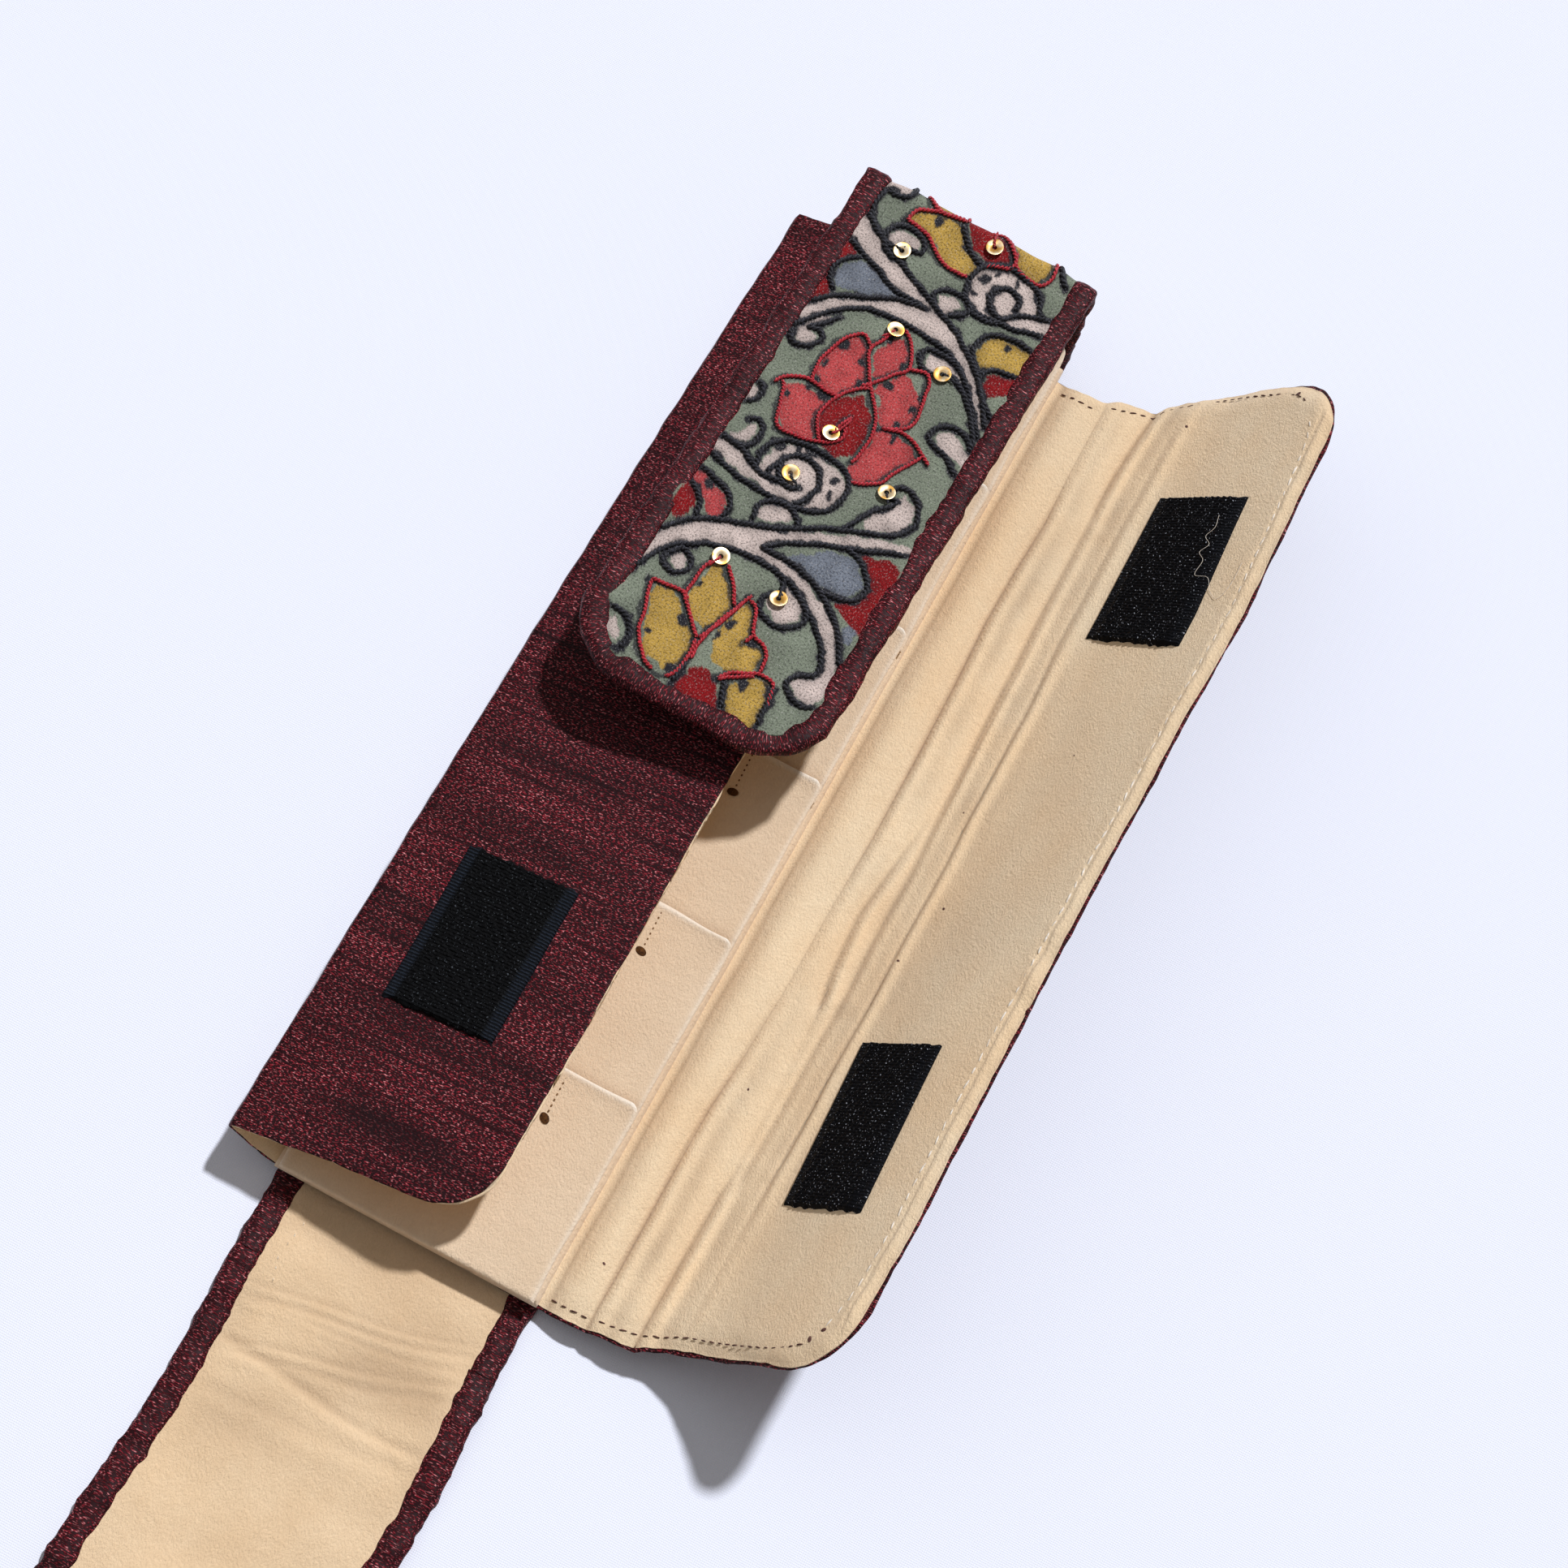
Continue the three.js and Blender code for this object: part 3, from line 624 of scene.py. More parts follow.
def under_spine(across, along):
    """How far the silk stands out under the lining: it follows the creases, and away from the ends the
    lining stands clear of it."""
    clear = eased(spine_start + 1, spine_start + 5, across)
    clear = clear * eased(spine_start + 36, spine_start + 30, across)
    return 0.9 * clear * eased(131, 122, np.abs(along - 3)) - flap_relief(across, along)


right_half = (right_path, right_lengths, right_sway, right_low, right_high)
spine_bend = ("base", "right_spine", (0.029, 0, 0.00345), (0.0365, 0, 0.0042))
flap_bend = ("right_spine", "right_flap", (0.053, 0, 0.0073), (0.0615, 0, 0.0105))
right_silk = silk_layer("spine_silk_cloth", right_half, at_zero, silk_cut, 0, 50, -1, under_spine, 0.9,
                        cuts=2)
bends(right_silk, ["right_spine_silk"])
right_flap_silk = silk_layer("right_flap_silk_cloth", right_half, lambda y: silk_cut + 0 * y, right_length,
                             right_corner, 50, -1, under_spine, 0.9, cuts=1)
bends(right_flap_silk, ["right_flap_silk"])


# The case is lined with beige brushed cotton, sewn to the silk round its edge with a line of stitches
# about 4 mm in. On the base it goes round a board, which gives the base its soft square edge.
hem_inset = 3.8


def brushed_cotton(name, main, paler, deep):
    """Beige brushed cotton: fine fibre under small clouds of nap, broad paler patches and soft stains.
    Where a piece has the attribute crease, painted shade darkens the cloth in its folds, and where it has
    the edge attribute, a painted highlight makes it paler along its lit edges."""
    material, tree, shader = new_finish(name, 0.95, 0.1, 0.25, 0.6)
    place = node(tree, "ShaderNodeUVMap", {}, uv_map="UVMap").outputs[0]
    fibre = noise(tree, place, 2300.0, 3.0, 0.7, (1.0, 0.6, 1.0), math.radians(20))
    fibre = ramp(tree, fibre, [(0.36, grey(0)), (0.68, grey(1))])
    felt_cloud = ramp(tree, noise(tree, place, 420.0, 3.0, 0.65), [(0.3, grey(0)), (0.7, grey(1))])
    cloud = ramp(tree, noise(tree, place, 34.0, 4.0, 0.6, (1.0, 0.6, 1.0)),
                 [(0.34, grey(0)), (0.68, grey(1))])
    stain = ramp(tree, noise(tree, place, 19.0, 3.0, 0.6, (1.0, 0.5, 1.0)), [(0.5, grey(0)), (0.74, grey(1))])
    colour = blended(tree, cloud, main, paler)
    colour = blended(tree, sums(tree, "MULTIPLY", stain, 0.3), colour, deep)
    colour = blended(tree, sums(tree, "MULTIPLY", felt_cloud, 0.13), colour, deep)
    colour = blended(tree, sums(tree, "MULTIPLY", fibre, 0.2), colour, deep)
    # Painted shade: where a piece has the attribute crease, the cloth is darkened to brown in its folds.
    folds = node(tree, "ShaderNodeAttribute", {}, attribute_name="crease").outputs["Fac"]
    colour = blended(tree, folds, colour, written(118, 78, 48))
    # Painted highlight: where a piece has the edge attribute, the cloth is made paler along its lit edges.
    painted_edge_highlight = node(tree, "ShaderNodeAttribute", {}, attribute_name="painted_edge_highlight").outputs["Fac"]
    colour = blended(tree, painted_edge_highlight, colour, written(255, 244, 226))
    tree.links.new(colour, shader.inputs["Base Color"])
    raised(tree, shader, sums(tree, "ADD", fibre, sums(tree, "MULTIPLY", felt_cloud, 0.8)), 0.00013)
    return material


# Painted light: the case's lining is a paler copy of the leaves' cotton, so that its faces sloped away from
# the lamp look as bright as the lit flat ones.
case_cotton = brushed_cotton("case_lining_cotton", written(252, 219, 174), written(255, 232, 194),
                             written(206, 169, 128))


def sewn_down(height, edge):
    """The height of the lining over the silk's middle, which comes down to the silk over the last 3 mm."""
    rim = silk_thickness / 2 + 0.25
    return rim + (height - rim) * eased(0, 3.2, edge)


def lining_layer(name, half, start, length, corner, seed, outside, rise, offset, back, step=1.3, **how):
    """One stretch of the case's lining, 0.6 mm thick, whose inner face stands offset from the silk's
    middle. It ends back from the silk's edge, dips at the line of stitches and comes down to the silk
    at its rim."""
    across, along, edge = case_grid(start, length, lambda run: half[3](run) + back,
                                    lambda run: half[4](run) - back, max(corner - back, 0), seed, step)
    face = sewn_down(offset(across), edge)
    face = face + 0.22 * waves(seed + 9, 7, across, along) * hill(edge - 2, 2.5)
    face = face - 0.35 * hill(edge - hem_inset + back, 0.55)
    lift = rise(across, along)
    thick = 0.6 * turned_edge(edge, 0.6)
    outer = on_case(half, across, along, -outside * (face + lift))
    inner = on_case(half, across, along, -outside * (face + lift - thick))
    piece = sewn_layer(name, outer, inner, np.stack([across, along], -1), case_cotton, **how)
    # On the spine and right flap, painted shade darkens the lining along its creases and the base's edge.
    if outside < 0:
        keep(piece, "crease", np.clip(fold_shade(across, along), 0, 1))
    return piece


def left_offset(across):
    """The lining's inner face over the silk's middle on the left, thicker on the flap for its board."""
    return 1.1 + 0.75 * eased(left_fold_run + 1.5, left_fold_run + 6, across)


def right_offset(across):
    """The same on the right."""
    return 1.1 + 0.75 * eased(flap_start, flap_start + 7, across)


def left_swell(across, along):
    """How the lining stands off the silk inside the left fold, in soft bumps about 9 mm long."""
    return 0.35 * np.maximum(waves(71, 9, across, along), 0)


def under_flap(across, along):
    """How the left flap's lining strays: it swells inside the fold and follows the silk."""
    return left_swell(across, along) * eased(wall_middle + 9, wall_middle, across) - left_rise(across, along)


lining_start = 28.6
left_lining = lining_layer("left_wall_lining_cloth", left_half, lambda y: lining_start + 0 * y,
                           wall_middle, 0, 70, 1, lambda x, y: left_swell(x, y) * eased(31, 34, x),
                           left_offset, 0.3, cuts=2)
bends(left_lining, ["left_wall_lining"])
left_flap_lining = lining_layer("left_flap_lining_cloth", left_half, at_wall_middle, left_length + 0.35,
                                flap_corner, 70, 1, under_flap, left_offset, 0.3, cuts=1)
bends(left_flap_lining, ["left_flap_lining"])


def spine_lining_stretch(name, length, corner, bend, node_name, **how):
    """One stretch of the lining on the spine and right flap, which follows the creases' relief."""
    piece = lining_layer(name, right_half, at_first_crease, length, corner, 90, -1, flap_relief,
                         right_offset, 0.45, 0.5, **how)
    bends(piece, [node_name])


spine_lining_stretch("spine_lining_cloth", 30.6, 0, spine_bend, "right_spine_lining", cuts=2)
spine_lining_stretch("right_flap_lining_cloth", right_length - 0.45, right_corner, flap_bend,
                     "right_flap_lining", cuts=1)


# The base's lining is pulled round the board and down to the silk at both ends, so that the base ends
# in a soft rounded edge. It carries the leaves.
leaf_cotton = brushed_cotton("leaf_cotton", written(239, 211, 176), written(246, 221, 188),
                             written(206, 174, 140))
base_left, base_right, base_low, base_high = -31.9, 31.3, -130.6, 130.2
across, along = np.meshgrid(spaced(base_left, base_right, 2.4, (0.15, 0.5, 1.1, 1.9)),
                            spaced(base_low, base_high, 2.6, (0.15, 0.5, 1.1, 1.9, 3.0)), indexing="ij")
edge = np.minimum(across - base_left, base_right - across)
edge = np.minimum(edge, np.minimum(along - base_low, base_high - along))
dome = np.sqrt(1 - (1 - np.clip(edge / 1.6, 0, 1)) ** 2)
top = 4.1 + 2.6 * dome + 0.12 * waves(120, 8, across, along) * eased(4, 0, edge)
under = 3.95 + 0 * across
base_lining = sewn_layer("base_lining_cloth", np.stack([across, along, top], -1),
                         np.stack([across, along, under], -1), np.stack([across, along], -1), leaf_cotton)
rides(base_lining, "base", ["base_lining"])
board_card = mottled("grey_card", 900.0, 0.2, 0.8, written(150, 135, 112), written(196, 178, 150), 0.95, 0.1)
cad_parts["base_board"].data.materials.clear()
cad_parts["base_board"].data.materials.append(board_card)


def flap_card(name, half, start, length, corner, outside, rise, body):
    """A thin card between a flap's silk and lining, inset from the sewn edge, with rounded corners."""
    inset = 4.6
    across, along, edge = case_grid(lambda y: start + 0 * y, length - inset, lambda x: half[3](x) + inset,
                                    lambda x: half[4](x) - inset, corner - inset, 7, 2.4, 0.0)
    lift = rise(across, along)
    outer = on_case(half, across, along, -outside * (1.05 + lift))
    inner = on_case(half, across, along, -outside * (0.5 + lift))
    card = sewn_layer(name, outer, inner, np.stack([across, along], -1), board_card)
    rides(card, body, [body + "_stiffener"])


flap_card("left_flap_card", left_half, left_fold_run + 3, left_length, flap_corner, 1,
          lambda x, y: -left_rise(x, y), "left_flap")
flap_card("right_flap_card", right_half, flap_start + 3, right_length, right_corner, -1, spine_rise,
          "right_flap")


# Six leaves of thin board wrapped in the same cotton lie over each other like shingles. Each is sewn to
# the base along its lower edge, and has two small burnt holes for earring posts near its free edge.
leaf_half, leaf_pitch, leaf_length, leaf_thick = 30.5, 43.2, 47.7, 1.6
leaf_start, leaf_level, leaf_corner = -131, 7.825, 2.6
leaf_tilt = math.radians(2.59)
hole_aside, hole_back = 13.5, 12.0
burnt = mottled("burnt_edge", 1800.0, 0.3, 0.7, written(48, 26, 10), written(98, 62, 28), 0.9, 0.2)
pricked = mottled("pricked_hole", 2500.0, 0.3, 0.7, written(96, 68, 42), written(150, 116, 82), 0.95, 0.1)


def leaf_face(number, across, along, height):
    """Points over a leaf: across and along it from its sewn edge, and height over its middle layer,
    turned by the leaf's tilt about its sewn edge."""
    y = along * math.cos(leaf_tilt) - height * math.sin(leaf_tilt)
    z = along * math.sin(leaf_tilt) + height * math.cos(leaf_tilt)
    return np.stack([across, leaf_start + leaf_pitch * (number - 1) + y, leaf_level + z], -1)


def small_marks(name, place, marks, ring, material):
    """Small raised discs, each given by its two places on a face, its size along two directions, the turn
    between and its height: rows of ring points round its middle, drawn in upwards."""
    points, faces = [], []
    for x, y, size_a, size_b, turn, height in marks:
        angle = np.linspace(0, 2 * math.pi, ring, endpoint=False)
        for share, level in ((1.0, 0.0), (0.72, height), (0.02, height * 1.2)):
            a, b = size_a * share * np.cos(angle), size_b * share * np.sin(angle)
            on_x = x + a * math.cos(turn) - b * math.sin(turn)
            on_y = y + a * math.sin(turn) + b * math.cos(turn)
            points.extend(place(on_x, on_y, level))
        faces.append(tube_faces(3, ring, len(points) - 3 * ring))
    return new_piece(name, np.array(points), np.concatenate(faces), material)


for number in range(1, 7):
    free = spaced(0.0, leaf_length, 1.6, (0.08, 0.25, 0.55, 1.0))
    share = np.concatenate([[0, 0.0013, 0.004, 0.009, 0.017], np.linspace(0.03, 0.97, 40),
                            [0.983, 0.991, 0.996, 0.9987, 1]])
    inward = np.clip(free - (leaf_length - leaf_corner), 0, leaf_corner)
    corner = leaf_corner - np.sqrt(np.maximum(leaf_corner ** 2 - inward ** 2, 0))
    side = leaf_half - corner
    across = (2 * share - 1) * side[:, None]
    along = np.broadcast_to(free[:, None], across.shape).copy()
    edge = np.minimum(along, leaf_length - along)
    edge = np.maximum(np.minimum(edge, np.minimum(share, 1 - share) * 2 * side[:, None]), 0)
    near = eased(leaf_length - 6, leaf_length, along)
    along += 0.25 * waves(140 + number, 16, across, 0 * across, 8) * near
    across += 0.2 * waves(150 + number, 20, along, 0 * across, 8)
    thick = leaf_thick / 2 * np.sqrt(1 - (1 - np.clip(edge / 0.8, 0, 1)) ** 2 * 0.97)
    swell = 0.12 * waves(160 + number, 18, across, along) + 0.4 * hill(leaf_length - along - 0.5, 1.1)
    swell += 0.3 * eased(22, 30, np.abs(across)) * eased(leaf_length - 8, leaf_length, along)
    thread = 0.12 * hill(leaf_length - along - 2.6, 0.4)
    top = leaf_face(number, across, along, thick + swell - thread)
    under = leaf_face(number, across, along, np.minimum(-thick + swell, thick + swell - thread - 0.05))
    flat = np.stack([across + 200 * number, along], -1)
    leaf = sewn_layer(f"leaf_{number}_cloth", top, under, flat, leaf_cotton)
    # A painted highlight along each leaf's free edge and sides, where its rounded edge catches the lamp.
    paler = 0.75 * hill(leaf_length - along - 0.4, 0.7) + 0.4 * hill(side[:, None] - np.abs(across) - 0.4, 0.6)
    keep(leaf, "painted_edge_highlight", np.clip(paler, 0, 1))
    # A painted shadow on each leaf, just past the free edge of the leaf that lies over it.
    painted_leaf_shadow = 0.35 * np.exp(-np.abs(along - (leaf_length - leaf_pitch) - 0.6))
    keep(leaf, "crease", painted_leaf_shadow * (number > 1))
    rides(leaf, f"leaf_{number}", [f"leaf_{number}_board", f"leaf_{number}_cover"])
    def on_leaf(x, y, level):
        """Points just over this leaf's upper face, at two places and a height."""
        return leaf_face(number, x, y, leaf_thick / 2 + 0.17 + level)
    holes, pricks = [], []
    for x in (-hole_aside, hole_aside):
        holes.append((x, leaf_length - hole_back, 0.95, 1.35, 0.5 + 0.4 * number, 0.15))
        pricks += [(x - 0.05 * k, leaf_length - hole_back + 1.8 + 1.35 * k, 0.22, 0.3, 0, 0.03)
                   for k in range(7)]
    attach(small_marks(f"leaf_{number}_holes", on_leaf, holes, 16, burnt), f"leaf_{number}")
    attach(small_marks(f"leaf_{number}_pricks", on_leaf, pricks, 8, pricked), f"leaf_{number}")


# The strap runs lengthwise under the base, up the case's upper end and down over the leaves, and out
# beyond the lower end. Its outer face is a felt-like cotton panel, painted with a winding vine, lotus
# flowers and curled leaves of a traditional kind, each outlined in black or red twisted thread.
strap_half = 31.0
binding_width = 6.0
strap_corner = 17.0
top_base_y, top_fold = 133.4, np.array([140.05, 27.08])
top_length, tail_length = 147.5, 307.2
tail_riser_middle = 148.2
panel_inset = 4.0
top_tilt = math.radians(177.5)
top_skew = math.radians(1.3)
top_path, top_lengths = rounded_path(
    [(0, 0.4), (top_base_y, 0.4), tuple(top_fold),
     (top_fold[0] + 170 * math.cos(top_tilt), top_fold[1] + 170 * math.sin(top_tilt))], [4.5, 2.4])
top_run = float(top_lengths[np.argmin(np.linalg.norm(top_path - top_fold, axis=1))])
riser_middle = float(top_lengths[np.argmin(np.linalg.norm(top_path - [136.7, 13.7], axis=1))]) - top_run


def on_strap_top(across, along, outward):
    """Points of the strap's upper part: across it, along it from its fold at the top, 0, to its tip, and
    outward from its outer face's middle layer. Beyond the fold it is turned a little to the left, and
    the fold bulges out, most on its left."""
    turn = top_skew * eased(-3, 6, along)
    outward = np.minimum(outward, 0.38 + 2.5 * eased(-27, -17, along))
    x = across * np.cos(turn) - along * np.sin(turn)
    run = top_run + along * np.cos(turn) + across * np.sin(turn)
    profile = path_at(top_path, top_lengths, run, -np.asarray(outward))
    bulge = (1.9 - 1.2 * across / strap_half) * hill(along, 9)
    return np.stack([x, profile[..., 0] + bulge, profile[..., 1]], -1)


def on_strap_tail(across, along, outward):
    """The same for the strap's lower part, which lies on the table and rises a little to the tape under its
    tip: along is the distance from the base's middle."""
    swell = np.maximum(0.5 * waves(205, 26, across, along) * eased(136, 160, along), 0)
    lift = 0.0116 * np.clip(along - 162.6, 0, 140) + swell
    sway = 1.7 * hill(along - 180, 24)
    return np.stack([sway - across, -along + 0 * across, 0.4 + lift - np.minimum(outward, 0.38 + lift)], -1)


def strap_ends(across, tip, inset):
    """Where a layer of the strap that lies inset from its edge ends, by the place across it: short of the
    tip by the inset, less the quarter circles at its two corners."""
    corner = strap_corner - inset
    inward = np.clip(np.abs(across) - (strap_half - inset - corner), 0, corner)
    return tip - inset - (corner - np.sqrt(np.maximum(corner ** 2 - inward ** 2, 0)))


def strap_layer(name, place, start, tip, rounded, faces, step, material):
    """One layer of the strap inside its binding, from start to its rounded tip or to a straight cut. Its
    outer and inner faces lie at the two heights in faces. Places on the cloth go into the UV map."""
    half = strap_half - panel_inset
    columns = np.linspace(-half, half, int(2 * half / step[0]) + 1)
    share = np.linspace(0, 1, int(abs(tip - start) / step[1]) + 1)
    last = strap_ends(columns, tip, panel_inset) if rounded else tip + 0 * columns
    along = start + (last[None, :] - start) * share[:, None]
    across = np.broadcast_to(columns[None, :], along.shape)
    outer = place(across, along, faces[0](across, along))
    inner = place(across, along, faces[1](across, along))
    flat = np.stack([across, along], -1)
    return sewn_layer(name, outer, inner, flat, material, cuts=1 if rounded else 2), across, along


def smooth_line(points, step, closed=False):
    """A smooth line through points, or round them, by a Catmull-Rom curve: each stretch is a cubic whose
    slopes are half the difference of the neighbouring points. Returns points about step apart."""
    p = np.array(points, float)
    if closed:
        ends = np.concatenate([p[-1:], p, p[:2]])
    else:
        ends = np.concatenate([[2 * p[0] - p[1]], p, [2 * p[-1] - p[-2]]])
    found = []
    for a, b, c, d in zip(ends[:-3], ends[1:-2], ends[2:-1], ends[3:]):
        t = np.linspace(0, 1, max(2, int(np.linalg.norm(c - b) / step) + 1))[:-1, None]
        found.append(0.5 * (2 * b + (c - a) * t + (2 * a - 5 * b + 4 * c - d) * t ** 2
                            + (3 * b - a - 3 * c + d) * t ** 3))
    return np.concatenate(found + [ends[-2:-1]])


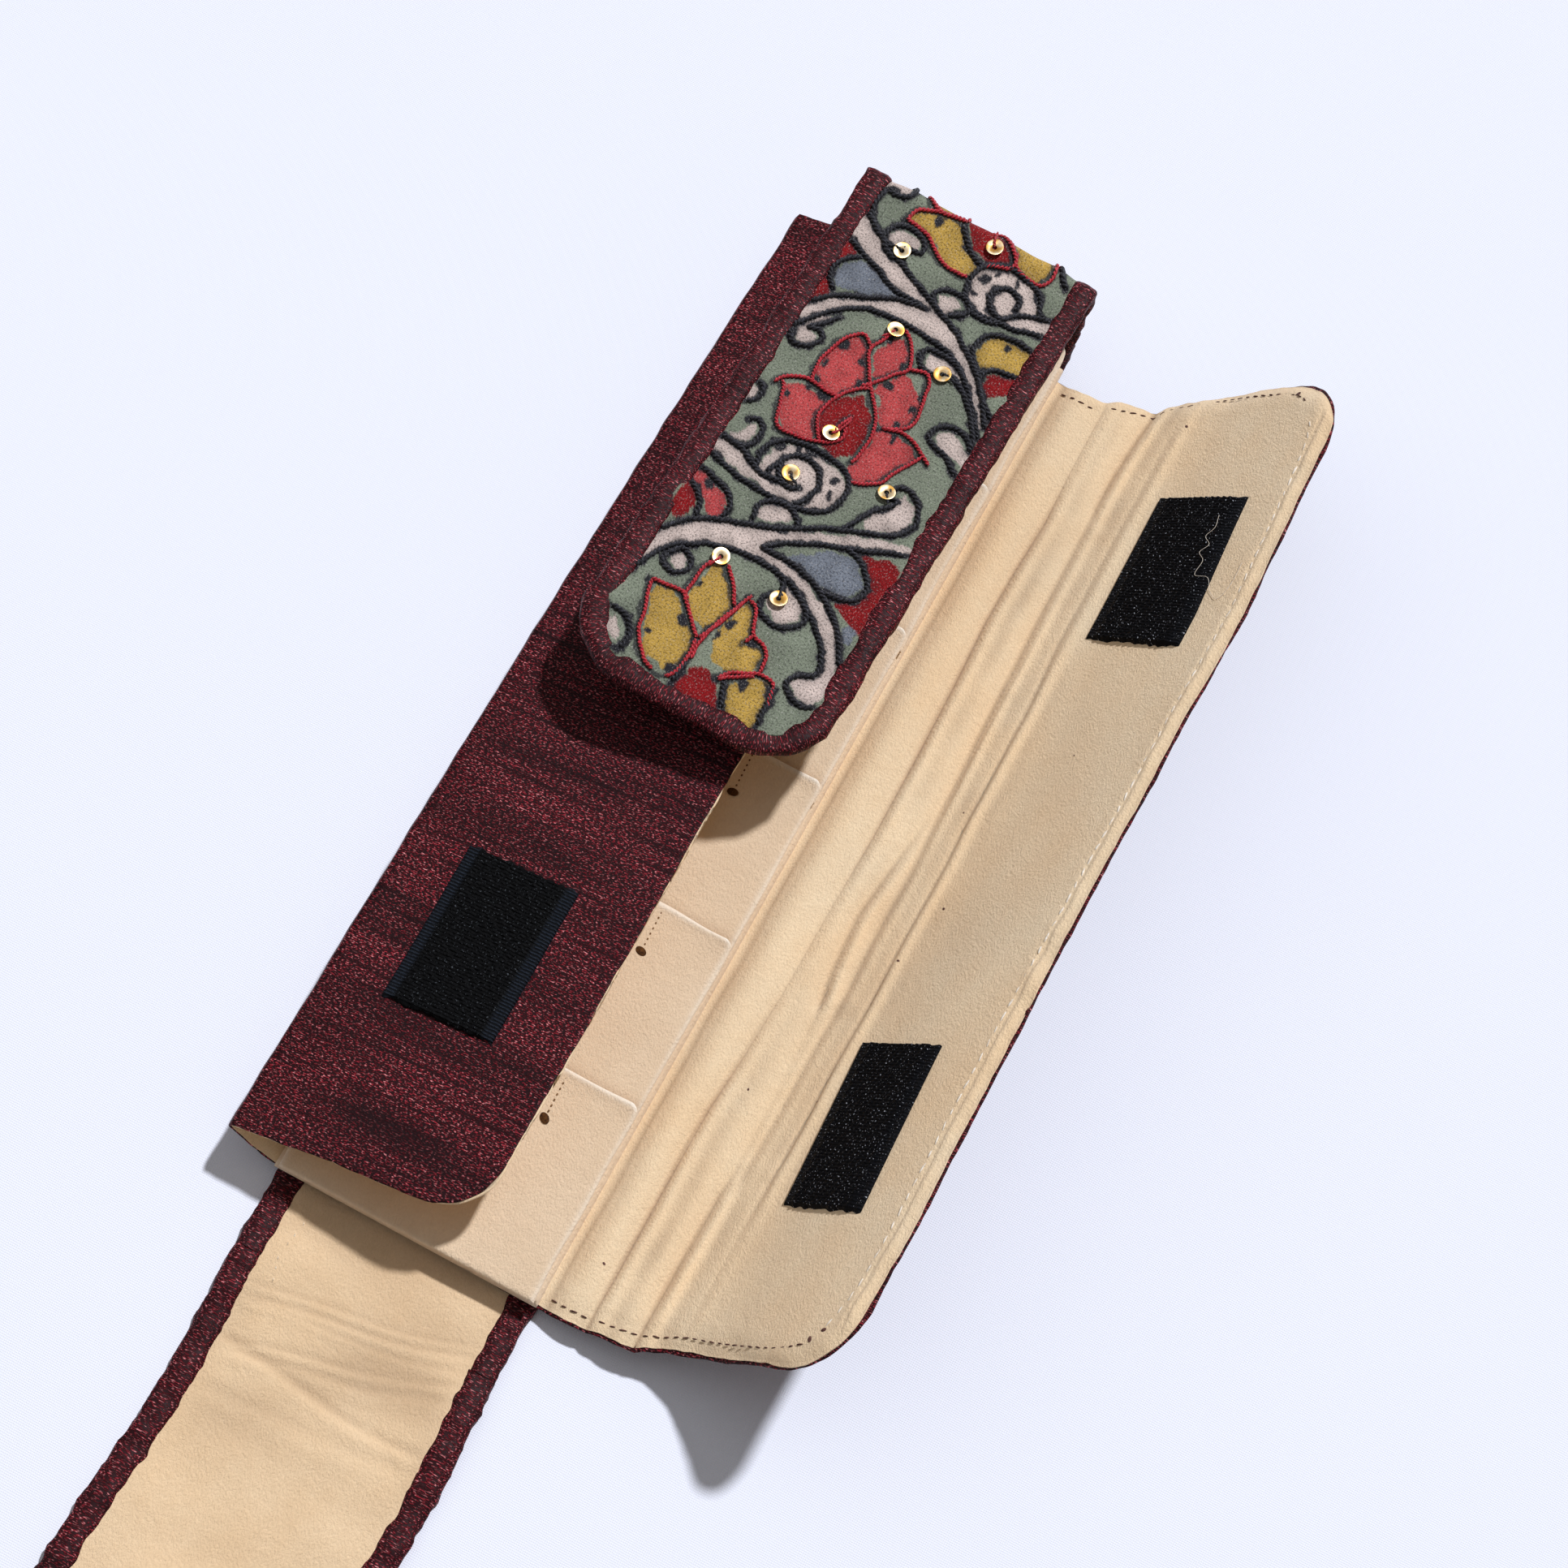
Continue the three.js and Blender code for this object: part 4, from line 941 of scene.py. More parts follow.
# Painted shapes of the pattern, each a closed outline of places (across, along) on the strap in
# millimetres, from the fold at the top. One length of the pattern, 137 mm, goes on over the strap.
cream, slate, rose = written(224, 204, 193), written(124, 130, 140), written(200, 76, 76)
crimson, mustard, sage = written(146, 12, 18), written(200, 162, 76), written(136, 144, 124)
ink = written(38, 37, 43)
pattern_length, pattern_start = 137.0, -3.0
painted = [
    (crimson, [(-26, 19), (-22, 21.5), (-24.5, 25), (-26, 28)]),
    (crimson, [(-26, 30), (-24.5, 31), (-22, 34), (-24.5, 38), (-26, 39)]),
    (cream, [(-26, 10.5), (-22.5, 12.5), (-19.5, 14.5), (-15.5, 17), (-12, 18.7), (-7.5, 21.2), (-3, 23.2),
        (1, 25.4), (6, 27.6), (11, 31), (15, 34.6), (18.5, 38.2), (21.5, 42.2), (24.6, 48.2), (24, 49),
        (21.3, 45.4), (18.3, 41.3), (14.8, 37.4), (11, 34), (7.5, 32.6), (2, 32), (-4, 31.6), (-10, 32.2),
        (-14.5, 33.6), (-19, 37.4), (-22.5, 41.4), (-26, 46.6), (-26, 40), (-22.5, 36.6), (-19, 34),
        (-14, 31.4), (-10, 28.8), (-6, 27.4), (-2, 27.2), (-1.5, 25.6), (-4.5, 25.1), (-9, 24.8),
        (-12.5, 23.6), (-16, 21.6), (-20, 20), (-26, 17.4)]),
    (cream, [(-25.5, -1), (-23, -2), (-20.8, -1.8), (-19.2, 0), (-19.4, 2), (-21, 3.3), (-22, 2),
        (-23.2, 1.5), (-24.6, 3), (-26, 2)]),
    (slate, [(-24, 28.5), (-22.7, 24.8), (-19, 22.4), (-16, 22.9), (-12.5, 24.6), (-8.6, 26.6),
        (-12.5, 28.6), (-17, 31), (-21.5, 31.7)]),
    (mustard, [(-14.5, -3), (-4, -3), (-3.7, 1), (-8, 1.6), (-12, 1.4), (-14.3, -0.5)]),
    (mustard, [(-16.3, 7.2), (-14.5, 4.7), (-12, 3.5), (-8, 2.4), (-4, 2.2), (-1.5, 5), (2, 7.5),
        (4.6, 8.4), (3.2, 12.6), (0, 13.1), (-3.5, 12.7), (-7, 10), (-10, 8.4), (-14, 7.7)]),
    (mustard, [(6.2, -1.2), (9.5, -2), (15, -2.2), (19.2, -1.5), (19.6, 1.5), (18.9, 4), (18, 6), (15, 5.8),
        (11.5, 4.7), (10, 2), (8.5, 0)]),
    (crimson, [(-3.2, -2.4), (1, -1.9), (4.5, -0.5), (8, 1.2), (10.5, 3.5), (10, 5.6), (8, 7), (5.5, 8),
        (3.5, 7.2), (0.5, 5.5), (-2, 3), (-3.5, 0.5)]),
    (cream, [(4.6, 13), (5.6, 9.2), (9, 7.1), (13, 6.6), (17.4, 7.8), (20.2, 10), (21.4, 12.4),
        (20.2, 14.2), (24, 13.6), (26, 13.4), (26, 17.2), (23.5, 17.6), (19, 19.2), (15, 19.5), (9.5, 19.9),
        (6.5, 18.4), (5, 16)]),
    (cream, [(0, 21), (2, 19.5), (4.5, 19.5), (6, 21.2), (4.8, 23.2), (4.2, 24.7), (1.8, 24), (0.5, 22.7)]),
    (cream, [(-18.2, 13), (-17, 11), (-14, 10.2), (-11, 11.2), (-10.4, 12.8), (-13.5, 13.4), (-15.2, 14),
        (-14.6, 16.2), (-16.6, 15)]),
    (mustard, [(14.4, 27), (16, 24), (19, 23.8), (20.7, 23.2), (26, 23.4), (26, 30), (20.5, 31.6),
        (18.5, 33), (17, 33.5), (15, 31), (14.3, 29)]),
    (crimson, [(26, 31.4), (20.6, 33.4), (19.3, 35.6), (19.8, 38.5), (21.5, 39.6), (26, 36)]),
    (cream, [(-17.4, 39), (-21.5, 42), (-23.7, 44.6), (-24.6, 47.6), (-23.7, 49.6), (-21.5, 50),
        (-19.5, 48.6), (-19.5, 46.6), (-21.6, 45.8), (-21.2, 44), (-18.8, 41)]),
    (cream, [(5, 38), (5.6, 36.4), (8, 35.7), (11.5, 36.3), (14, 38), (15.4, 39.6), (12.5, 38.8),
        (10.2, 39.3), (9, 40.6), (6.5, 40)]),
    (rose, [(-1.5, 36.3), (1, 39), (2.1, 42), (1.7, 44.6), (-1, 48), (-3, 49.4), (-4.2, 46.5), (-5.6, 44),
        (-5.6, 41.5), (-3.6, 38.4)]),
    (rose, [(-10, 41), (-7.5, 43), (-6.5, 46), (-5, 49.5), (-3.3, 52), (-5, 55), (-7, 58), (-10.5, 58.4),
        (-13.7, 57.6), (-14.8, 54), (-15, 50), (-14, 46.4), (-13, 43.4)]),
    (rose, [(3.2, 44.3), (5.6, 46.3), (9, 48), (9.9, 52), (9.8, 55.5), (7.8, 58), (4, 59.7), (2.8, 57),
        (1, 53.6), (-1.5, 51.4), (0, 48.5), (1.5, 46.5)]),
    (rose, [(-18.8, 61.5), (-15, 59.8), (-10.5, 59.8), (-8.1, 62), (-8.7, 66), (-7, 70), (-8, 72),
        (-12, 72.9), (-15, 72), (-17, 68.5), (-18.2, 65)]),
    (rose, [(5, 60.6), (9, 60), (14, 61.5), (15.6, 63), (13, 67), (11.6, 71), (10.7, 74), (6.5, 76.3),
        (3.2, 74.2), (3.5, 71), (4.5, 66), (4.5, 62)]),
    (crimson, [(-2.7, 54.6), (0, 57.5), (2.2, 60.5), (3.1, 64), (2.9, 68), (1.5, 71), (-1.5, 72.6),
        (-4.5, 71.4), (-6.7, 69), (-8.4, 65.5), (-8.4, 62), (-6.6, 58.5), (-4.6, 56)]),
    (cream, [(16.3, 55.3), (18.5, 53), (21, 52.6), (23.5, 54.5), (26, 56), (26, 59.4), (21.5, 58.1),
        (18.5, 57.5)]),
    (cream, [(-26, 65.5), (-24, 66), (-23.7, 68), (-26, 69.6)]),
    (cream, [(-21.5, 75), (-19.9, 75.3), (-18.8, 78), (-19.5, 80), (-22, 80.9), (-24.8, 80.2), (-22.3, 79),
        (-21.2, 77)]),
    (cream, [(-13.8, 84.5), (-13.9, 79.5), (-12, 76.3), (-9, 74.8), (-5, 74.2), (-1, 74.5), (2.4, 76),
        (4.8, 78.5), (5.2, 81.5), (4.1, 84.9), (1.6, 87.2), (-1, 88.2), (-5, 88.8), (-10, 88.9),
        (-15, 88.1), (-20.5, 86.9), (-26, 85), (-26, 82.4), (-20, 82.8), (-17, 84)]),
    (cream, [(15.4, 77), (16.6, 74.6), (18, 73.2), (20.5, 74.4), (21.9, 78), (21.2, 81), (18.6, 83.2),
        (14, 85.2), (13, 84), (13.7, 81.5)]),
    (rose, [(-26, 92), (-24, 91), (-21.5, 93), (-17, 95), (-15.4, 98), (-16, 100.6), (-18, 101.6),
        (-20, 98.6), (-22.5, 96.4), (-26, 94.4)]),
    (crimson, [(-26, 96.3), (-22.2, 99.4), (-21.8, 103.5), (-23.4, 105.8), (-26, 104)]),
    (crimson, [(16.5, 91.6), (20, 90.7), (26, 91.5), (26, 108.6), (20.5, 108.2), (17, 106), (19, 104.6),
        (21.6, 102.5), (22, 98), (19.5, 94.4)]),
    (slate, [(2.5, 101.2), (8, 96.5), (12, 94.2), (15.4, 93.9), (18.4, 96), (20.4, 99.5), (18.6, 102.7),
        (14, 103.7), (9, 102.6), (5, 101.9)]),
    (slate, [(21.5, 110), (24, 108.8), (24.4, 113), (23, 113.4)]),
    (cream, [(26, 84), (20, 85.3), (15, 87.5), (10, 89.9), (5, 92.4), (0, 94.9), (-4, 97), (-8, 98.8),
        (-12, 100.2), (-17, 102.5), (-21, 105.6), (-24, 109.2), (-26, 113), (-26, 121), (-24, 120.4),
        (-22.5, 116), (-20.5, 111.7), (-17, 109), (-13, 106.6), (-8, 105.3), (-3, 104.7), (3, 105.2),
        (8, 106.8), (12, 109.4), (16, 112.4), (19.5, 116), (22, 120), (22.3, 124), (19.5, 126), (18.2, 128),
        (20, 130.4), (23, 131), (25.4, 129), (25.4, 122), (23.6, 117), (20, 112), (16, 108.4), (12, 105.9),
        (8, 103.9), (3, 102.7), (-2.6, 102), (-1.2, 99.6), (2, 97.4), (6, 95), (11, 92.9), (16, 90.5),
        (20, 88.9), (26, 87)]),
    (cream, [(-8, 96), (-8.1, 92.6), (-6.2, 90.5), (-3.5, 90.3), (-1, 92.4), (-3, 94.2), (-6, 95.8)]),
    (cream, [(4, 112), (5.5, 109), (8, 107.9), (11, 110), (11.9, 113.5), (9.6, 116.4), (6, 116.2),
        (4, 114)]),
    (cream, [(-19.6, 114.5), (-18, 112.9), (-16.2, 114), (-16.1, 116), (-17.6, 117.1), (-19.3, 116)]),
    (mustard, [(-9.5, 111), (-7, 113), (-3.6, 115.5), (-2, 119), (-3, 123), (-4.4, 127.4), (-7.5, 125.6),
        (-10.5, 123), (-11.7, 119), (-11.1, 115)]),
    (mustard, [(-18.7, 123.2), (-16.5, 122.6), (-12.5, 123.5), (-11, 126), (-7, 129), (-5, 131), (-5, 137),
        (-6, 140), (-9.5, 139.6), (-13, 139), (-15.6, 135), (-17, 130), (-18.6, 126)]),
    (mustard, [(1, 115.9), (3, 119), (4.6, 122.5), (6.5, 124), (9, 125.5), (9.9, 129), (7.6, 131.5),
        (4.5, 133.6), (1, 132.6), (-1, 130), (-2, 126.5), (-1, 122), (0, 119)]),
    (mustard, [(6.3, 136), (9, 134), (10.5, 131.9), (14.6, 131.2), (15.2, 136), (15.6, 143.5), (9, 143.5),
        (7.4, 139)]),
    (crimson, [(-1.5, 135.7), (1, 134.8), (3.5, 136.9), (5.6, 139.5), (6.8, 143.5), (-3.7, 143.5),
        (-3, 138.5)]),
    (cream, [(-24.6, 136), (-23, 134.4), (-21.5, 135.4), (-20, 137.4), (-19.2, 139.4), (-21.5, 138.9),
        (-24, 137.6)]),
]
# Black threads of the pattern, as lines of places along which the thread is laid, and the red ones after.
black_lines = [
    [(-24, -2.6), (-21.5, -3), (-19, -1.3), (-18.1, 1), (-19.4, 3.2), (-22, 3.9), (-24, 3.2)],
    [(-24.8, 3.5), (-24.8, 8), (-23.3, 11), (-21, 13.3), (-19, 14.4)],
    [(-26, 9.6), (-22.6, 11.7), (-19.6, 13.7), (-15.5, 16.2), (-12, 18), (-7.5, 20.4), (-3, 22.5),
        (1, 24.6), (6, 26.8), (11, 30.2), (15, 33.6), (18.6, 37.2), (21.6, 41.2), (25, 47)],
    [(-26, 18.2), (-20, 20.8), (-16, 22.3), (-12.5, 24.3), (-9, 25.4), (-4.5, 25.8), (-1, 26)],
    [(-26, 39.6), (-22.6, 35.9), (-19, 33.2), (-14, 30.6), (-10, 28.1), (-6, 26.7), (-1, 26)],
    [(-26, 47.3), (-22.4, 42.2), (-19, 38.2), (-14.3, 34.4), (-10, 33), (-4, 32.5), (2, 32.8), (7.5, 33.4),
        (11, 34.8), (15, 38.1), (18.5, 42), (21.5, 46), (25, 50.5)],
    [(-20.5, 21.3), (-23.3, 23.6), (-25, 27), (-24.2, 30.6), (-22, 33)],
    [(-4, 2.5), (-2, 4.8), (1.5, 7.6), (4.8, 8.9)],
    [(20.6, -1), (22, 1.5), (24.5, 3.6)],
    [(4, 13.5), (4.6, 9.4), (8.8, 6.4), (13, 5.9), (17.8, 7), (20.9, 9.5), (22, 12.6), (23.6, 12.6)],
    [(4, 13.5), (4.4, 16.4), (6.3, 19), (9.5, 20.6), (15, 20.2), (19.2, 19.8), (23.6, 18.3), (25.5, 18)],
    [(25.5, 12.6), (20.6, 14.4), (17.8, 15.8), (16.2, 17.8), (14.6, 19), (12, 17.7), (10.1, 15.4),
        (10.3, 12.4), (12.6, 10.8), (15.4, 11.1), (16.9, 13), (16.6, 15)],
    [(4, 24.9), (6.5, 23.2), (7.6, 20.6), (6.2, 18.7), (2, 18.2), (-0.6, 19.5), (-1.4, 22), (-0.2, 24)],
    [(7.6, 20.8), (10, 21.2), (13, 21.3), (15, 20.3)],
    [(-19, 14.2), (-18.4, 11), (-16.5, 9.4), (-14, 9), (-10.5, 10), (-9, 12), (-9.6, 13.3), (-12.5, 13.8),
        (-14.2, 14.6)],
    [(-19, 13.7), (-17, 16.2), (-14, 18)],
    [(13, 30.2), (13.4, 26.4), (15, 23.8), (18.5, 22.9), (21.5, 22.2), (25.5, 22.8)],
    [(13, 29.6), (14.8, 32.6), (17, 34.6), (20, 32.5), (25.5, 30.6)],
    [(18.2, 34), (18.5, 37), (21, 40.5), (25.5, 44.5)],
    [(-16.8, 38.8), (-19.5, 42.7), (-21.8, 45.2), (-19.6, 44.8), (-18, 46.5), (-19.4, 49.6), (-22, 51.1),
        (-24, 50.5), (-25.2, 47.6), (-24.6, 44.6)],
    [(8.4, 41.2), (5, 40.7), (3.5, 38), (4.3, 35.4), (8, 34.9), (12, 35.7), (15.2, 38)],
    [(9.8, 40.6), (12, 39.3), (15, 40.5), (18, 43), (21, 46.4), (24, 51), (25, 54)],
    [(15.2, 57), (15.2, 54), (17, 52), (20, 51), (23, 52), (25.5, 54.6)],
    [(15.2, 57), (18, 58.3), (21, 59), (25.5, 62.5)],
    [(-26, 64.4), (-23.2, 65), (-22.6, 67.5), (-24, 69.8), (-26, 70.6)],
    [(-21.8, 74.4), (-20, 73.4), (-18, 75), (-17.6, 78.3), (-19, 81), (-22, 81.7), (-26, 80.6)],
    [(-26, 81.4), (-20, 82), (-16.5, 83.8), (-13, 85.6), (-10, 85.6), (-7.8, 85.2)],
    [(-26, 86), (-21, 88), (-16, 89.2), (-10, 89.8), (-4, 89.5), (0, 88.6), (2.7, 87.5), (5, 85), (6.2, 81),
        (5.5, 77.5), (3, 74.8), (-1, 73.5), (-5, 73.3), (-9, 73.8), (-12.6, 75.2), (-14.8, 78), (-15.4, 81),
        (-14.6, 84.6)],
    [(-11.8, 84.4), (-10.4, 80), (-8.5, 77.3), (-5.5, 76.3), (-2.5, 77.5), (-0.3, 80.5), (-0.3, 83.5),
        (-1.3, 86.5), (-3, 88.6)],
    [(-10.3, 80.4), (-9.4, 83.2), (-8, 85), (-5.2, 85.3), (-3.8, 84)],
    [(14.5, 74.6), (14.8, 73), (16, 71.7), (19, 71.7), (21.6, 74), (23, 77.5), (22.3, 81), (19.5, 84),
        (15, 86), (12, 87.5), (8, 89.3), (4, 91.5), (0.5, 93.7), (-2, 95.4), (-6, 97.3), (-10, 98.9),
        (-14, 100.5), (-18, 102.6), (-22, 105.9), (-26, 111)],
    [(14.5, 75), (17, 75.6), (15.4, 78), (13, 81), (11.5, 84.5), (9.6, 88.4)],
    [(25.5, 86.2), (19.5, 89), (15.5, 90.9), (10.5, 93.2), (5, 95.6), (1, 98), (-2.4, 101), (-3.3, 102.2),
        (2, 102), (8, 103.1), (13, 105), (18.4, 109.4), (22, 113.4), (25.2, 119)],
    [(-9, 97), (-9.3, 93), (-8, 90.8), (-5, 89.7), (-2, 90), (0, 92), (0.9, 93.6)],
    [(-26, 90.4), (-22, 92), (-17.5, 93.5), (-14.5, 96.5), (-14.8, 100)],
    [(-26, 95), (-22.5, 97.5), (-20.5, 100.5), (-20, 103)],
    [(13, 92.4), (16, 92.9), (19, 95), (21.5, 98.5), (21, 102), (18, 104.3), (13, 104.8)],
    [(-25.5, 122), (-23.4, 116.5), (-21, 112.6), (-17, 109.8), (-13, 107.4), (-8, 106.1), (-3, 105.6),
        (3, 106), (8, 107.6), (12, 110.4), (16, 113.4), (19.2, 116.8), (21.4, 120.4), (21.6, 124),
        (18.8, 125.6), (17, 128.4), (18.8, 131), (22.6, 132.2), (25.2, 131)],
    [(4.4, 106.4), (5.5, 109), (6.2, 111.4)],
    [(2.5, 113), (3, 115.5), (5.5, 117.5), (9, 117.8), (12, 116), (13.4, 113), (11.6, 109.4)],
    [(2.5, 113.4), (3.8, 111)],
    [(-20.6, 114.6), (-18.4, 111.8), (-15.3, 113.4), (-15, 116.2), (-17.4, 118.3), (-20.4, 117),
        (-20.6, 114.6)],
    [(-26, 132.4), (-21, 133), (-18.5, 135.5), (-17.7, 139), (-18.5, 141.6), (-22, 140.6), (-25, 138.5)],
    [(5.4, 136), (6.8, 139), (8.4, 143)],
    [(15.6, 131.6), (16.2, 137), (16.4, 142)],
    [(-4, 136), (-4.4, 143)],
]
red_lines = [
    [(-14.8, -2.8), (-14.8, -0.5), (-13, 1.2), (-10, 2.2), (-7, 1.7), (-4, 1.2)],
    [(-16.5, 7.6), (-15.6, 5.2), (-13.5, 3.5), (-10.5, 2.2)],
    [(-16.5, 7.5), (-13, 8), (-9.5, 9), (-6, 11.5), (-3, 13), (1, 13.6), (3, 13.1)],
    [(-3.8, 1.2), (-3.6, -2), (-1.5, -2.6), (2, -2), (5, -0.7), (8.5, 1.5), (11, 4), (10.2, 6.2),
        (6.4, 7.8), (5.2, 9)],
    [(5.4, -0.8), (8.5, -1.8), (14, -2.3), (19, -1.8), (21, -0.7)],
    [(19.3, -1), (20.3, 2.4), (19.6, 5.2), (18, 6.3), (15, 6), (11.4, 5), (10, 2)],
    [(-4.5, 35.5), (-5.5, 38.5), (-7, 42), (-6, 45.5), (-4, 49.5), (-3, 51)],
    [(-2.5, 34), (-0.5, 35.5), (1.5, 38.5), (3, 42), (2.7, 44), (0.5, 46.5), (-2, 50.5), (-4.4, 53)],
    [(-7.4, 42.2), (-10, 40.3), (-12.5, 42.3), (-14, 45), (-15, 49), (-15.6, 52.5), (-15, 56), (-14.2, 58)],
    [(3.3, 43.2), (7, 41.9), (9, 44.3), (9.6, 48), (10.5, 52), (10.6, 55.5), (8.5, 58.5), (5, 60.3)],
    [(-3, 51), (0.7, 55.7), (3, 59.5), (4, 64), (3.8, 68.5), (3.2, 72)],
    [(-2.3, 52.3), (-5, 54.5), (-7.3, 58), (-8.7, 62), (-8.8, 65), (-7.5, 68.5), (-5.5, 71)],
    [(-2, 61.5), (-3, 64), (-3.8, 67)],
    [(-2, 64.5), (-1.3, 67.5), (-3.5, 70.2), (-8, 72.2), (-11, 73), (-15.5, 72.7), (-17, 70), (-18, 67),
        (-19, 63), (-20.4, 61.4)],
    [(-21.8, 62.8), (-20.5, 60.5), (-17, 58.3), (-14, 57.9), (-10.5, 58.4), (-7.3, 58.6)],
    [(5, 60.2), (9.5, 59), (13, 59.7), (16, 61.5), (18.7, 63.4)],
    [(16.4, 62), (14.5, 66), (12.5, 70), (11.5, 73), (9, 75), (5.5, 76.7)],
    [(-10, 109.3), (-12, 113), (-12.3, 117), (-12.3, 121.5), (-10, 124.5), (-7.5, 127), (-4.8, 129.8)],
    [(-7.8, 110.2), (-5, 113.3), (-3, 116), (-1.5, 118.4)],
    [(-20.5, 122.3), (-17, 121.8), (-13, 121.6), (-11, 122.5)],
    [(-20.2, 122.4), (-19.5, 125.5), (-18, 130), (-16.5, 135), (-14, 138.5), (-11, 141), (-8, 141.7),
        (-5.5, 141), (-4.3, 136), (-4.7, 130)],
    [(0.5, 114), (-0.5, 117), (-1, 119.5), (-2, 123), (-3.3, 127), (-3.8, 131), (-3.6, 135)],
    [(-0.2, 116.4), (-1.8, 120.4), (-2.9, 125), (-4.4, 129.6)],
    [(0.5, 115.3), (2.5, 116), (4, 119), (5.5, 122.5), (8.5, 123.8), (10.5, 126), (11.2, 129.8)],
    [(5.5, 122.6), (4.8, 125.3)],
    [(15.3, 131.4), (16.3, 136.4)],
    [(15.3, 131.5), (14, 130.4), (11, 130.3), (8.5, 131.8), (5.5, 133.5), (3.7, 136)],
    [(10.6, 131.3), (8, 133.2), (5.6, 134.6), (4, 136.3)],
]
nicks = [(-13, -1.2), (-9.6, 4.4), (8.8, 8.6), (6.8, 11.2), (6.4, 15.6), (14, 8.3), (-22.6, 2.6),
    (-4.2, 38), (1.4, 43.4), (-12.8, 45), (-7, 47), (-14.2, 51.5), (-4.6, 52.2), (-14, 56.8), (-14.5, 59.8),
    (-10.5, 59.8), (8.6, 52), (9, 47.6), (1, 49.3), (8.5, 61.2), (-17.8, 63.6), (-12.5, 77), (2.3, 78),
    (3, 82.4), (-5.6, 74.4), (-8.4, 75.2), (-11.2, 117.6), (-9.6, 127.6), (-15.2, 133.6), (-1.4, 127),
    (6.2, 124.6), (9.2, 134.6), (19.8, 25), (-21.4, 94.2), (-24.4, 136.4), (7.4, 57.8), (-6, 139.4),
    (0, 122.4)]


def inside(outline, across, along):
    """Whether points lie inside a closed outline: a line to the side crosses it an odd number of times."""
    found = np.zeros(across.shape, bool)
    after = np.roll(outline, -1, axis=0)
    for (x0, y0), (x1, y1) in zip(outline, after):
        if y0 != y1:
            crossed = ((y0 > along) != (y1 > along)) & (across < (x1 - x0) * (along - y0) / (y1 - y0) + x0)
            found ^= crossed
    return found


def distance_to(line, across, along, reach):
    """Distance from points to a line of straight bits, no further than reach."""
    found = np.full(across.shape, reach)
    low, high = line.min(0) - reach, line.max(0) + reach
    near = (across > low[0]) & (across < high[0]) & (along > low[1]) & (along < high[1])
    x, y = across[near], along[near]
    best = np.full(x.shape, reach)
    for (x0, y0), (x1, y1) in zip(line[:-1], line[1:]):
        size = max((x1 - x0) ** 2 + (y1 - y0) ** 2, 1e-9)
        t = np.clip(((x - x0) * (x1 - x0) + (y - y0) * (y1 - y0)) / size, 0, 1)
        best = np.minimum(best, np.hypot(x - x0 - t * (x1 - x0), y - y0 - t * (y1 - y0)))
    found[near] = best
    return found


def inked(colour, dark):
    """Colours darkened to ink by the shares in dark."""
    return colour + (np.array(ink) - colour) * dark[:, None]


def paint(across, along):
    """The pattern's colours at places on the strap: the ground, the painted shapes over it with soft dark
    rims, then black lines under the black threads, a painted shadow beside each red thread, and the
    small nicks along the petals."""
    across = across.ravel()
    along = along.ravel()
    again = (along - pattern_start) % pattern_length + pattern_start
    along = np.where((along < pattern_start) | (along > 144), again, along)
    x = across + 0.3 * waves(211, 2.6, across, along) + 0.12 * waves(215, 0.9, across, along, 16)
    y = along + 0.3 * waves(212, 2.6, across, along) + 0.12 * waves(216, 0.9, across, along, 16)
    patchy = 0.5 + 0.5 * waves(213, 9, across, along)
    colour = np.tile(np.array(sage), (len(across), 1)) * (0.84 + 0.24 * np.clip(patchy, 0, 1))[:, None]
    for tone, outline in painted:
        ring = smooth_line(outline, 1.2, True)
        filled = inside(ring, x, y)
        if filled.any():
            rim = distance_to(ring, x[filled], y[filled], 2.4)
            shade = 0.8 + 0.09 * rim + 0.09 * waves(214, 4, x[filled], y[filled])
            colour[filled] = np.array(tone) * np.clip(shade, 0.55, 1.1)[:, None]
    for line in black_lines:
        gap = distance_to(smooth_line(line, 1.0), x, y, 3.2)
        washed = np.clip((2.6 - gap) / 2.6, 0, 1) * 0.24
        colour = inked(colour, np.maximum(np.clip((1.14 - gap) / 0.3, 0, 1), washed))
    # Painted shadow: a dark line beside each red thread, set off 0.45 mm across and 0.3 mm along the strap,
    # on the side away from the lamp.
    for line in red_lines:
        gap = distance_to(smooth_line(line, 1.0), x + 0.45, y - 0.3, 1.4)
        colour = inked(colour, np.clip((1.0 - gap) / 0.35, 0, 0.85))
    for number, (nick_x, nick_y) in enumerate(nicks):
        gap = np.hypot((x - nick_x) * (0.8 + 0.4 * (number % 3)), (y - nick_y) * (1.1 - 0.3 * (number % 2)))
        colour = inked(colour, np.clip((1.3 - gap) / 0.3, 0, 1))
    colour[:, 3] = 1.0
    return colour


felt, tree, shader = new_finish("painted_felt", 0.95, 0.08, 0.1, 0.6)
paint_colour = node(tree, "ShaderNodeAttribute", {}, attribute_name="paint").outputs["Color"]
place = node(tree, "ShaderNodeUVMap", {}, uv_map="UVMap").outputs[0]
fluff = noise(tree, place, 1900.0, 4.0, 0.75)
dark_spots = ramp(tree, noise(tree, place, 2100.0, 3.0, 0.7), [(0.36, grey(0)), (0.52, grey(1))])
pale_spots = ramp(tree, noise(tree, place, 2500.0, 2.0, 0.7, (1.0, 0.7, 1.0)),
                  [(0.56, grey(0)), (0.74, grey(0.4))])
felted = blended(tree, 0.68, paint_colour, dark_spots, "MULTIPLY")
felted = blended(tree, pale_spots, felted, written(226, 222, 214))
tree.links.new(felted, shader.inputs["Base Color"])
raised(tree, shader, fluff, 0.0003)


